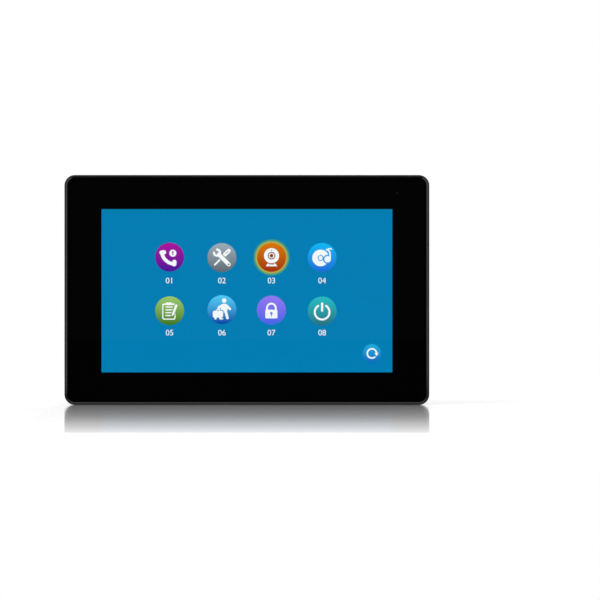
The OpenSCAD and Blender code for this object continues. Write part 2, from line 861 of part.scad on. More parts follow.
// Seat of the microphone's boot, the gap that it is pressed in through and its sound hole
module mic_cuts() {
    translate([mic_x, mic_y, 0]) {
        cylinder(r = mic_r + boot_t + snug, h = boot_top);
        cylinder(d = mic_hole_d, h = ledge_z + over);
        translate([0, -mic_mouth_l / 2, 0]) plate(mic_mouth_w, mic_mouth_l, part_z, boot_top);
    }
}

// Front glass with a ground edge and the microphone's hole
module cover_glass() color(clear_glass) hang() difference() {
    edged_slab(glass_w, glass_h, glass_r, glass_back, body_d) polygon([
        [0, glass_back], [glass_r, glass_back], [glass_r, rim_z],
        [glass_r - glass_chamfer, body_d], [0, body_d]
    ]);
    translate([mic_x, mic_y, glass_back - over]) cylinder(d = mic_hole_d, h = glass_t + 2 * over);
}

// Ring of double-sided tape between the glass and the frame's ledge
module glass_tape() color(soft_black) hang() difference() {
    slab(glass_w - 2 * tape_inset, glass_h - 2 * tape_inset, glass_r - tape_inset, ledge_z, glass_back);
    translate([0, module_y, 0]) plate(
        opening_w + 2 * tape_inset, opening_h + 2 * tape_inset, ledge_z - over, glass_back + over
    );
    translate([mic_x, mic_y, ledge_z - over]) cylinder(d = 2 * mic_hole_d, h = tape_t + 2 * over);
}

module touch_sensor() color(clear_glass) hang() {
    translate([0, module_y, 0]) plate(module_w, module_h, sensor_back, glass_back);
}

module touch_flex() color(amber) hang() {
    translate([touch_flex_x, 0, 0]) flex_cable(
        touch_plug_size[0] - flex_side, module_low, module_low - flex_out - module_clear,
        flex_y - touch_plug_size[1] / 2, sensor_back + flex_t / 2, board_back - flex_drop
    );
}

// Foam ring that keeps dust from between the display and the touch sensor
module lcd_gasket() color(foam_grey) hang() difference() {
    translate([0, module_y, 0])
        plate(module_w - module_clear, module_h - module_clear, module_front, sensor_back);
    translate([0, view_y, 0]) plate(
        view_w + 2 * bezel_margin, view_h + 2 * bezel_margin, module_front - over, sensor_back + over
    );
}

// Pressed steel frame of the display module, with a slot for the flat cable
module lcd_bezel() color(steel) hang() difference() {
    translate([0, module_y, 0]) plate(module_w, module_h, module_back, module_front);
    translate([0, module_y, 0]) plate(
        module_w - 2 * sheet_t, module_h - 2 * sheet_t, module_back - over, module_front - sheet_t
    );
    translate([0, view_y, 0]) plate(
        view_w + 2 * bezel_margin, view_h + 2 * bezel_margin, module_back, module_front + over
    );
    translate([lcd_flex_x, module_low, 0]) plate(
        flex_size[0] + flex_side, 2 * flex_side, cell_back, cell_back + 3 * flex_t
    );
}

// Glass sandwich that makes the picture
module lcd_cell() color(screen_blue) hang() {
    translate([0, (cell_top + cell_low) / 2, 0])
        plate(cell_w, cell_top - cell_low, cell_back, cell_back + cell_t);
}

module optical_films() color(film_white) hang() {
    translate([0, (tray_in_top + tray_in_low) / 2, 0]) plate(
        tray_in_w - 2 * film_play, tray_in_top - tray_in_low - 2 * film_play, film_back, cell_back
    );
}

module light_guide() color(film_white) hang() {
    top = tray_in_top - film_play;
    translate([0, (top + guide_low) / 2, 0])
        plate(tray_in_w - 2 * film_play, top - guide_low, guide_back, film_back);
}

module reflector_sheet() color(film_white) hang() {
    top = tray_in_top - film_play;
    translate([0, (top + guide_low) / 2, 0])
        plate(tray_in_w - 2 * film_play, top - guide_low, tray_floor, guide_back);
}

// Strip of lamps along the lower edge of the light guide
module backlight_leds() color(ivory) hang() {
    strip_w = tray_in_w - 2 * film_play;
    translate([0, tray_in_low + led_strip_t / 2, 0]) plate(strip_w, led_strip_t, tray_floor, film_back);
    for (i = [0 : led_count - 1]) translate([(i + 0.5) * strip_w / led_count - strip_w / 2, 0, 0])
        translate([-led_w / 2, tray_in_low + led_strip_t, guide_back])
            cube([led_w, led_t, guide_t - film_play]);
}

// Steel tray that carries the backlight and the edges of the cell
module backlight_tray() color(steel) hang() difference() {
    inset = sheet_t + module_play;
    translate([0, module_y, 0]) plate(module_w - 2 * inset, module_h - 2 * inset, module_back, cell_back);
    translate([0, (tray_in_top + tray_in_low) / 2, 0]) plate(
        tray_in_w, tray_in_top - tray_in_low, tray_floor, cell_back + over
    );
}

module lcd_flex() color(amber) hang() {
    translate([lcd_flex_x, 0, 0]) flex_cable(
        flex_size[0] - flex_side, cell_low, module_low - flex_out,
        flex_y - flex_size[1] / 2, cell_back + flex_t, board_back - flex_drop
    );
}

// Steel clips that hold the display against the front frame
module lcd_clips() color(steel) hang() {
    inner = module_w / 2 - clip_reach;
    outer = boss_x + boss_r;
    for (side = [-1, 1], end = [-1, 1]) difference() {
        translate([side * (inner + outer) / 2, end * clip_y, 0])
            slab(outer - inner, clip_w, clip_r, clip_back, module_back);
        translate([side * boss_x, end * clip_y, clip_back - over])
            cylinder(r = clip_screw[0] + shank_clear, h = clip_t + 2 * over);
    }
}

module clip_screws() color(dark_steel) hang() {
    four(boss_x, clip_y) translate([0, 0, clip_back])
        screw(clip_screw, ledge_z - screw_skin - clip_back - screw_end);
}

// Circuit board with a tab at the right, screw holes and holes for the sockets' pins
module main_board() color(board_green) hang() difference() {
    union() {
        translate([(board_left + board_right) / 2, 0, 0])
            plate(board_right - board_left, board_h, board_back, board_front);
        translate([board_right - over, tab_low, board_back])
            cube([tab_x - board_right + over, tab_top - tab_low, board_t]);
    }
    for (at = board_posts) translate([at[0], at[1], board_back - over])
        cylinder(r = board_screw[0] + shank_clear, h = board_t + 2 * over);
    at_pins() translate([0, 0, board_back - over]) cylinder(r = pin_hole_r, h = board_t + 2 * over);
}

module board_screws() color(dark_steel) hang() {
    for (at = board_posts) translate([at[0], at[1], board_front]) rotate([180, 0, 0])
        screw(board_screw, board_t + screw_bite);
}

module processor() color(chip_black) hang() {
    translate(processor_at) on_board(processor_size);
}

module memory_chips() color(chip_black) hang() {
    for (at = memory_at) translate(at) on_board(memory_size);
}

module board_chips() color(chip_black) hang() {
    for (at = concat(upper_chips, middle_chips, lower_chips)) translate(at) on_board(chip_size);
}

// Shielded coils with a round core that shows
module power_inductors() color(dark_steel) hang() {
    for (at = inductor_at) translate(at) difference() {
        slab(inductor_size[0], inductor_size[1], inductor_r, board_back - inductor_size[2], board_back);
        translate([0, 0, board_back - inductor_size[2] - over]) difference() {
            cylinder(r = inductor_groove[1], h = over + inductor_groove[2]);
            cylinder(r = inductor_groove[0], h = over + inductor_groove[2]);
        }
    }
}

// Aluminium cans on square bases
module capacitors() color(steel) hang() {
    for (at = capacitor_at) translate(at) {
        on_board(capacitor_base);
        translate([0, 0, board_back - capacitor_h]) cylinder(r = capacitor_r, h = capacitor_h);
    }
}

module flex_connectors() color(ivory) hang() {
    translate([lcd_flex_x, flex_y]) on_board(flex_size);
    translate([touch_flex_x, flex_y]) on_board(touch_plug_size);
}

module lead_headers() color(ivory) hang() {
    for (at = [speaker_header, mic_header]) translate(at) on_board(header_size);
}

// Places a piece at each pin of the sockets numbered from first to last
module at_pins(first = 0, last = socket_count) {
    for (i = [first : last], p = [0 : all_pins[i] - 1])
        translate([socket_x(i) + (p - (all_pins[i] - 1) / 2) * pin_pitch, socket_y, 0]) children();
}

// Open box with two key slots in its lower wall
module socket_box(pins) {
    w = socket_w(pins);
    mouth = board_back - socket_h;
    difference() {
        on_board([w, socket_d, socket_h]);
        plate(w - 2 * socket_wall, socket_d - 2 * socket_wall, mouth - over, board_back - socket_floor);
        for (side = [-1, 1]) translate([side * pin_pitch / 2, -socket_d / 2, 0])
            plate(key_w, 2 * socket_wall + snug, mouth - over, board_back - socket_h / 2);
    }
}

module wire_sockets() color(ivory) hang() difference() {
    for (i = [0 : socket_count - 1]) translate([socket_x(i), socket_y, 0]) socket_box(all_pins[i]);
    at_pins(0, socket_count - 1) pin_hole();
}

module power_socket() color(ivory) hang() difference() {
    translate([socket_x(socket_count), socket_y, 0]) socket_box(power_pins);
    at_pins(socket_count, socket_count) pin_hole();
}

module pin_hole() {
    side = pin_side + 2 * pin_play;
    plate(side, side, board_back - socket_floor - over, board_back + over);
}

module socket_pins() color(brass_gold) hang() {
    at_pins() plate(pin_side, pin_side, board_back - socket_h + pin_low, board_front + pin_tail);
}

// Pressed steel shell, open towards the slot in the housing
module card_socket() color(steel) hang() {
    shell = [card_depth + card_shell, card_w + 2 * card_shell, card_t + 2 * card_shell];
    difference() {
        translate([control_x - shell[0], card_y - shell[1] / 2, board_back - shell[2]]) cube(shell);
        translate([control_x - card_depth, card_y - card_w / 2, card_z - card_t / 2])
            cube([card_depth + over, card_w, card_t]);
    }
}

// Case of the slide switch, hollow for the knob's foot and open where the knob comes out
module power_switch_body() color(dark_steel) hang() difference() {
    hollow = [knob_foot[0] + fit, knob_foot[1] + switch_travel + 2 * fit, knob_foot[2] + 2 * fit];
    mouth = [switch_size[0], knob_w + switch_travel + 2 * fit, knob_t + 2 * fit];
    translate([control_x - switch_size[0], switch_y - switch_size[1] / 2, board_back - switch_size[2]])
        cube(switch_size);
    translate([control_x - switch_wall - hollow[0], switch_y - hollow[1] / 2, switch_z - hollow[2] / 2])
        cube(hollow);
    translate([control_x - switch_wall - fit, switch_y - mouth[1] / 2, switch_z - mouth[2] / 2])
        cube(mouth);
}

// Knob at the lower end of its travel, with two grip grooves on its tip
module power_switch_knob() color(soft_black) hang() {
    y = switch_y - switch_travel / 2;
    tip = cover_w / 2 - drawn_in(switch_z) + knob_proud;
    foot_x = control_x - switch_wall - knob_foot[0];
    difference() {
        union() {
            translate([foot_x, y - knob_foot[1] / 2, switch_z - knob_foot[2] / 2]) cube(knob_foot);
            translate([foot_x, y - knob_w / 2, switch_z - knob_t / 2]) cube([tip - foot_x, knob_w, knob_t]);
        }
        for (side = [-1, 1]) translate([tip, y + side * knob_groove_y, switch_z])
            cube([knob_groove, knob_groove, 2 * knob_t], center = true);
    }
}

// Case of the reset switch, bored for its plunger
module reset_switch_body() color(dark_steel) hang() difference() {
    translate([control_x - reset_size[0], reset_y - reset_size[1] / 2, board_back - reset_size[2]])
        cube(reset_size);
    along_reset(control_x - reset_wall - plunger_collar_t - reset_travel - fit)
        cylinder(r = plunger_collar_r + fit, h = plunger_collar_t + reset_travel + fit);
    along_reset(control_x - reset_wall - fit) cylinder(r = plunger_r + fit, h = reset_wall + over);
}

module reset_plunger() color(ivory) hang() {
    along_reset(control_x - reset_wall - plunger_collar_t) {
        cylinder(r = plunger_collar_r, h = plunger_collar_t);
        cylinder(r = plunger_r, h = plunger_collar_t + reset_wall + plunger_out);
    }
}

// Turns a piece to run along x at the reset switch, from the given x
module along_reset(x) {
    translate([x, reset_y, reset_z]) rotate([0, 90, 0]) children();
}

module microphone() color(steel) hang() {
    translate([mic_x, mic_y, mic_top - mic_h]) cylinder(r = mic_r, h = mic_h);
}

// Rubber cup round the microphone, with a sound hole in front
module microphone_boot() color(soft_black) hang() translate([mic_x, mic_y, 0]) difference() {
    translate([0, 0, mic_top - mic_h - boot_foot])
        cylinder(r = mic_r + boot_t, h = mic_h + boot_foot + boot_skin);
    translate([0, 0, mic_top - mic_h - boot_foot - over]) cylinder(r = mic_r, h = mic_h + boot_foot + over);
    cylinder(d = mic_hole_d, h = boot_top + over);
}

module microphone_lead() color(chip_black) hang() {
    twin_lead(mic_route, [1, 0, 0]);
}

module speaker_gasket() color(foam_grey) hang() translate([speaker_x, speaker_y, seat_z]) difference() {
    cylinder(r = speaker_r, h = speaker_foam_t);
    translate([0, 0, -over]) cylinder(r = cone_r + surround_w, h = speaker_foam_t + 2 * over);
}

// Pressed steel basket with its flange and the block that the lead is soldered to
module speaker_frame() color(dark_steel) hang() {
    translate([speaker_x, speaker_y, speaker_flange_z]) rotate_extrude() polygon([
        [cone_r - surround_w, 0], [speaker_r, 0], [speaker_r, speaker_flange_t], [cone_r, speaker_flange_t],
        [basket_top_r, basket_h], [basket_hole_r, basket_h], [basket_hole_r, basket_h - basket_t],
        [basket_top_r - basket_t, basket_h - basket_t],
        [cone_r - surround_w, speaker_flange_t - basket_t / 2]
    ]);
    translate([speaker_terminal[0], speaker_terminal[1], 0])
        plate(terminal_size[0], terminal_size[1], speaker_basket_z, speaker_basket_z + terminal_size[2]);
}

// Thin cone with a flat surround glued under the flange and a domed cap
module speaker_cone() color(soft_black) hang() translate([speaker_x, speaker_y, speaker_flange_z]) {
    rotate_extrude() polygon([
        [cone_r - 2 * surround_w, -cone_t], [cone_r, -cone_t], [cone_r, 0], [cone_r - 2 * surround_w, 0],
        [cap_r, cone_h], [0, cone_h], [0, cone_h - cone_t], [cap_r - cone_t, cone_h - cone_t]
    ]);
}

module speaker_magnet() color(steel) hang() translate([speaker_x, speaker_y, speaker_magnet_z]) {
    cylinder(r = magnet_r, h = speaker_magnet_h - magnet_bevel);
    translate([0, 0, speaker_magnet_h - magnet_bevel])
        cylinder(r1 = magnet_r, r2 = magnet_r - magnet_bevel, h = magnet_bevel);
}

module speaker_screws() color(dark_steel) hang() translate([speaker_x, speaker_y, speaker_basket_z]) {
    for (turn = speaker_boss_angles) rotate(turn) translate([speaker_boss_out, 0, 0]) rotate([180, 0, 0])
        screw(speaker_screw, speaker_basket_z - floor_root - screw_skin - screw_end);
}

module speaker_lead() color(chip_black) hang() {
    twin_lead(speaker_route, [0, 0, 1]);
}

wall_bracket();
rear_cover();
housing_screws();
front_frame();
cover_glass();
glass_tape();
touch_sensor();
touch_flex();
lcd_gasket();
lcd_bezel();
lcd_cell();
optical_films();
light_guide();
reflector_sheet();
backlight_leds();
backlight_tray();
lcd_flex();
lcd_clips();
clip_screws();
main_board();
board_screws();
processor();
memory_chips();
board_chips();
power_inductors();
capacitors();
flex_connectors();
lead_headers();
wire_sockets();
power_socket();
socket_pins();
card_socket();
power_switch_body();
power_switch_knob();
reset_switch_body();
reset_plunger();
microphone();
microphone_boot();
microphone_lead();
speaker_gasket();
speaker_frame();
speaker_cone();
speaker_magnet();
speaker_screws();
speaker_lead();
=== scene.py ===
"""Looks of a wall-hung video intercom monitor: finishes, prints, lit picture, camera and studio."""
import json
import math

import bmesh
import bpy
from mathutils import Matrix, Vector

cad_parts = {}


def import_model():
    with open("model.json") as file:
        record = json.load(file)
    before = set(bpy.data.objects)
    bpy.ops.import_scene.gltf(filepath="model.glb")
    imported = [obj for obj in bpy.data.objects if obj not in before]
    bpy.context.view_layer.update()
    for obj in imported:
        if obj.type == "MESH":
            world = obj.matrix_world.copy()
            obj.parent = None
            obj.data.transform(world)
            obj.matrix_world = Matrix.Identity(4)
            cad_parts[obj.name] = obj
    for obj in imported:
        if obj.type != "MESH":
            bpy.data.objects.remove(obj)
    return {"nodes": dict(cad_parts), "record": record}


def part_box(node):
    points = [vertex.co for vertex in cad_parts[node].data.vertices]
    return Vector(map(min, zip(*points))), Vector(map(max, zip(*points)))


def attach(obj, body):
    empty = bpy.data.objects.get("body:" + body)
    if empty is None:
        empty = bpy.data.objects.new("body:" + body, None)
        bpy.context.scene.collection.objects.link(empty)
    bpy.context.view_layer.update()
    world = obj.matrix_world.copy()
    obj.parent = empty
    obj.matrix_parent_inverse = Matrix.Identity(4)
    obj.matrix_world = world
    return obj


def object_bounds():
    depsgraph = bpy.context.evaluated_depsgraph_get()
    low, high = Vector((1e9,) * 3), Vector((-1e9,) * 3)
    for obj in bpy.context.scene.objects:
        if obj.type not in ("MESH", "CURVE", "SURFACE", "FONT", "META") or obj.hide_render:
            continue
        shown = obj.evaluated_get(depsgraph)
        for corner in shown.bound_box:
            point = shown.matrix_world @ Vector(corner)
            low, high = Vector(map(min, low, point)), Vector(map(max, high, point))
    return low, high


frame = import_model()
cad_low, cad_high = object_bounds()
nodes = frame["nodes"]

MM = 0.001

# Camera, which looks straight at the glass from a little right of and below the body's middle
IMAGE_PX = 600
BODY_W_PX = 364.83
BODY_CENTRE_PX = (246.9, 289.96)
CAMERA_DISTANCE = 1.5
RIM_BACK = 1.4 * MM
SENSOR_W = 36.0

# The picture inside the edges of the display's glass cell
CELL_SIDE = 3.69 * MM
CELL_TOP = 2.68 * MM
CELL_BOTTOM = 5.36 * MM
cell_low, cell_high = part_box("lcd_cell")
picture_low = Vector((cell_low.x + CELL_SIDE, cell_low.y, cell_low.z + CELL_BOTTOM))
picture_high = Vector((cell_high.x - CELL_SIDE, cell_low.y, cell_high.z - CELL_TOP))

# Layers of the picture in front of the cell, with a glow that makes up for what the glass takes away
LAYER = 0.012 * MM
PICTURE_LIFT = 0.03 * MM
PICTURE_GLOW = 1.15
PIXEL = 0.15 * MM
PIXEL_GAP = 0.012 * MM
PIXEL_GAP_SHADE = 0.15


# Shader nodes

def shader_tree(name):
    """A new material with a Principled shader: returns the material, its node tree and the shader."""
    material = bpy.data.materials.new(name)
    material.use_nodes = True
    tree = material.node_tree
    tree.nodes.clear()
    output = tree.nodes.new("ShaderNodeOutputMaterial")
    shader = tree.nodes.new("ShaderNodeBsdfPrincipled")
    tree.links.new(shader.outputs["BSDF"], output.inputs["Surface"])
    return material, tree, shader


def add(tree, kind, links=(), **settings):
    """Adds a node, sets its properties or its inputs by name, and links its inputs."""
    node = tree.nodes.new("ShaderNode" + kind)
    for key, value in settings.items():
        if hasattr(node, key):
            setattr(node, key, value)
        else:
            node.inputs[key.replace("_", " ")].default_value = value
    for target, source in links:
        tree.links.new(source, node.inputs[target])
    return node


def opaque(color, strength=1.0, lift=0.0):
    """A colour made stronger or weaker and lifted, with full alpha."""
    return tuple(min(1.0, c * strength + lift) for c in color) + (1.0,)


def grey(level):
    """An opaque grey."""
    return (level, level, level, 1.0)


def shades(color, spread):
    """A darker and a lighter shade of a colour."""
    return opaque(color, 1 - spread), opaque(color, 1 + spread)


def place(tree, stretch=(1, 1, 1)):
    """Object coordinates, in metres, stretched along the axes."""
    coordinates = add(tree, "TexCoord").outputs["Object"]
    return add(tree, "Mapping", [("Vector", coordinates)], Scale=stretch).outputs["Vector"]


def noise(tree, vector, size, detail=3.0):
    """Noise whose lumps are about as large as size."""
    return add(tree, "TexNoise", [("Vector", vector)], Scale=1 / size, Detail=detail).outputs["Fac"]


def ranged(tree, value, low, high, from_low=0.0, from_high=1.0):
    """A value carried from one range to another and held there."""
    node = add(
        tree, "MapRange", [("Value", value)],
        From_Min=from_low, From_Max=from_high, To_Min=low, To_Max=high,
    )
    return node.outputs["Result"]


def product(tree, *values):
    """The product of two or more values."""
    total = values[0]
    for value in values[1:]:
        total = add(tree, "Math", [(0, total), (1, value)], operation="MULTIPLY").outputs["Value"]
    return total


def mixed(tree, factor, a, b):
    """Mixes two colours, each given as a value or as a socket."""
    node = add(tree, "Mix", [(0, factor)], data_type="RGBA")
    for index, color in ((6, a), (7, b)):
        if isinstance(color, bpy.types.NodeSocket):
            tree.links.new(color, node.inputs[index])
        else:
            node.inputs[index].default_value = color
    return node.outputs[2]


def mixed_shader(tree, factor, a, b):
    """Mixes two shaders, each given as its node."""
    return add(tree, "MixShader", [(0, factor), (1, a.outputs[0]), (2, b.outputs[0])])


def ramp_of(tree, value, stops):
    """A colour ramp through stops, each a position and a colour."""
    ramp = add(tree, "ValToRGB", [("Fac", value)])
    elements = ramp.color_ramp.elements
    while len(elements) < len(stops):
        elements.new(0.5)
    for element, (position, color) in zip(elements, stops):
        element.position = position
        element.color = opaque(color)
    return ramp.outputs["Color"]


def grey_ramp(tree, value, stops):
    """A ramp through stops, each a position and a level of grey."""
    return ramp_of(tree, value, [(position, (level,) * 3) for position, level in stops])


def grid(tree, coordinates, width, height, gap, offset):
    """Cells in rows that face the viewer: 1 in the gaps and 0 on the cells."""
    flat = add(tree, "Mapping", [("Vector", coordinates)], Rotation=(math.radians(90), 0, 0))
    cells = add(
        tree, "TexBrick", [("Vector", flat.outputs["Vector"])], offset=offset, Scale=1.0, Mortar_Size=gap,
        Brick_Width=width, Row_Height=height,
    )
    return cells.outputs["Fac"]


def sharp_rays(tree):
    """1 for rays that mirrors and clear glass send on, and 0 for all others."""
    looks = add(tree, "LightPath").outputs
    kinds = [(0, looks["Is Glossy Ray"]), (1, looks["Is Transmission Ray"])]
    return add(tree, "Math", kinds, operation="MAXIMUM").outputs["Value"]


# Worn edges: samples, and the cosines of the normal's turn at full wear and at none
EDGE_SAMPLES = 6
EDGE_TURN = (0.7, 0.99)


def rounded_edges(tree, radius):
    """The normal of slightly rounded edges, and a mask that is 1 on them."""
    normal = add(tree, "Bevel", samples=EDGE_SAMPLES, Radius=radius).outputs["Normal"]
    true_normal = add(tree, "NewGeometry").outputs["Normal"]
    turned = add(tree, "VectorMath", [(0, normal), (1, true_normal)], operation="DOT_PRODUCT")
    return normal, ranged(tree, turned.outputs["Value"], 1.0, 0.0, *EDGE_TURN)


# Finishes

# The parts of the noises' ranges that finishes use, and the detail of the broad noise
BROAD_SPAN = (0.3, 0.7)
BROAD_DETAIL = 5.0
FINE_SPAN = (0.25, 0.75)
# The least roughness, and the light that worn edges gain
SMOOTHEST = 0.02
WEAR_LIFT = 0.004


def finish(
    name, color, roughness, metallic=0.0, grain=0.4, relief=0.01, tone=0.15, patch=14.0, edge=0.12,
    wear=2.0, stretch=(1, 1, 1), rough_spread=0.08, specular=0.5,
):
    """A solid finish: broad patches of tone, a fine grain in the surface and lighter edges.
    Grain, relief, patch and edge are in millimetres."""
    material, tree, shader = shader_tree(name)
    at = place(tree, stretch)
    fine = noise(tree, at, grain * MM)
    broad = noise(tree, at, patch * MM, BROAD_DETAIL)
    normal, edges = rounded_edges(tree, edge * MM)
    toned = mixed(tree, ranged(tree, broad, 0.0, 1.0, *BROAD_SPAN), *shades(color, tone))
    worn = mixed(tree, product(tree, edges, broad), toned, opaque(color, wear, WEAR_LIFT))
    tree.links.new(worn, shader.inputs["Base Color"])
    smooth, rough = max(SMOOTHEST, roughness - rough_spread), roughness + rough_spread
    tree.links.new(ranged(tree, fine, smooth, rough, *FINE_SPAN), shader.inputs["Roughness"])
    bump = add(tree, "Bump", [("Height", fine), ("Normal", normal)], Distance=relief * MM)
    tree.links.new(bump.outputs["Normal"], shader.inputs["Normal"])
    shader.inputs["Metallic"].default_value = metallic
    shader.inputs["Specular IOR Level"].default_value = specular
    return material


def base_of(material):
    """The node tree of a finish, its shader and what feeds the shader's base colour."""
    tree = material.node_tree
    shader = next(node for node in tree.nodes if node.type == "BSDF_PRINCIPLED")
    return tree, shader, shader.inputs["Base Color"].links[0].from_socket


# Smears on clear glass: detail and shown part of their noise, and what they leave of the tint
SMEAR_DETAIL = 6.0
SMEAR_SPAN = (0.45, 0.8)
SMEAR_TONE = 0.99
GLASS_IOR = 1.5


def clear(name, tint, smear_size, smear):
    """Polished clear glass with faint smears."""
    material, tree, shader = shader_tree(name)
    smears = noise(tree, place(tree), smear_size * MM, SMEAR_DETAIL)
    tree.links.new(ranged(tree, smears, 0.0, smear, *SMEAR_SPAN), shader.inputs["Roughness"])
    toned = mixed(tree, smears, opaque(tint), opaque(tint, SMEAR_TONE))
    tree.links.new(toned, shader.inputs["Base Color"])
    shader.inputs["Transmission Weight"].default_value = 1.0
    shader.inputs["IOR"].default_value = GLASS_IOR
    return material


def bonded(name, tint, weave=0.6, tone=0.2, roughness=(0.1, 0.2), alpha=0.015):
    """A sheet that is bonded to the glass, so that it hardly shows. The weave is in millimetres."""
    material, tree, shader = shader_tree(name)
    threads = noise(tree, place(tree), weave * MM)
    tree.links.new(mixed(tree, threads, *shades(tint, tone)), shader.inputs["Base Color"])
    tree.links.new(ranged(tree, threads, *roughness), shader.inputs["Roughness"])
    shader.inputs["Alpha"].default_value = alpha
    shader.inputs["Specular IOR Level"].default_value = 0.0
    return material


def plated_sheet(name, color, spangle, shown=0.35, lighter=1.12):
    """Plated sheet steel: lines along the sheet and soft spangles, in millimetres, in the plating."""
    material = finish(
        name, color, 0.34, metallic=1.0, grain=0.5, relief=0.004, tone=0.1, patch=30.0, wear=1.15,
        stretch=(0.12, 1, 1),
    )
    tree, shader, before = base_of(material)
    cells = add(tree, "TexVoronoi", [("Vector", place(tree))], Scale=1 / (spangle * MM))
    share = ranged(tree, cells.outputs["Color"], 0.0, shown)
    tree.links.new(mixed(tree, share, before, opaque(color, lighter)), shader.inputs["Base Color"])
    return material


def circuit_board(name, color, yarn_w=0.8, yarn_h=0.4, gap=0.05, shown=0.4, lighter=1.5):
    """Green solder mask over a board whose glass weave, given in millimetres, faintly shows."""
    material = finish(name, color, 0.3, grain=1.2, relief=0.004, tone=0.12, patch=20.0, wear=1.6)
    tree, shader, before = base_of(material)
    coordinates = add(tree, "TexCoord").outputs["Object"]
    weave = grid(tree, coordinates, yarn_w * MM, yarn_h * MM, gap * MM, offset=0.5)
    share = ranged(tree, weave, 0.0, shown)
    tree.links.new(mixed(tree, share, before, opaque(color, lighter)), shader.inputs["Base Color"])
    return material


def upright(z_low, z_high):
    """A fade from 0 at one height to 1 at another."""
    def fade(tree, coordinates):
        height = add(tree, "SeparateXYZ", [("Vector", coordinates)]).outputs["Z"]
        return ranged(tree, height, 0.0, 1.0, z_low, z_high)
    return fade


def outward(centre, r_low, r_high):
    """A fade from 0 at one distance from a point across and up to 1 at another."""
    def fade(tree, coordinates):
        middle = add(tree, "VectorMath", [(0, coordinates)], operation="SUBTRACT")
        middle.inputs[1].default_value = (centre[0], 0, centre[1])
        flat = add(tree, "VectorMath", [(0, middle.outputs["Vector"])], operation="MULTIPLY")
        flat.inputs[1].default_value = (1, 0, 1)
        distance = add(tree, "VectorMath", [(0, flat.outputs["Vector"])], operation="LENGTH")
        return ranged(tree, distance.outputs["Value"], 0.0, 1.0, r_low, r_high)
    return fade


def lit(name, stops, fade):
    """A lit part of the picture: colours along a fade, with the display's pixels as a faint grid."""
    material, tree, shader = shader_tree(name)
    coordinates = add(tree, "TexCoord").outputs["Object"]
    color = ramp_of(tree, fade(tree, coordinates), stops)
    gaps = grid(tree, coordinates, PIXEL, PIXEL, PIXEL_GAP, offset=0.0)
    darker = mixed(tree, ranged(tree, gaps, 0.0, PIXEL_GAP_SHADE), color, grey(0.0))
    tree.links.new(darker, shader.inputs["Emission Color"])
    shader.inputs["Emission Strength"].default_value = PICTURE_GLOW
    shader.inputs["Base Color"].default_value = grey(0.0)
    shader.inputs["Roughness"].default_value = 0.4
    shader.inputs["Specular IOR Level"].default_value = 0.0
    return material


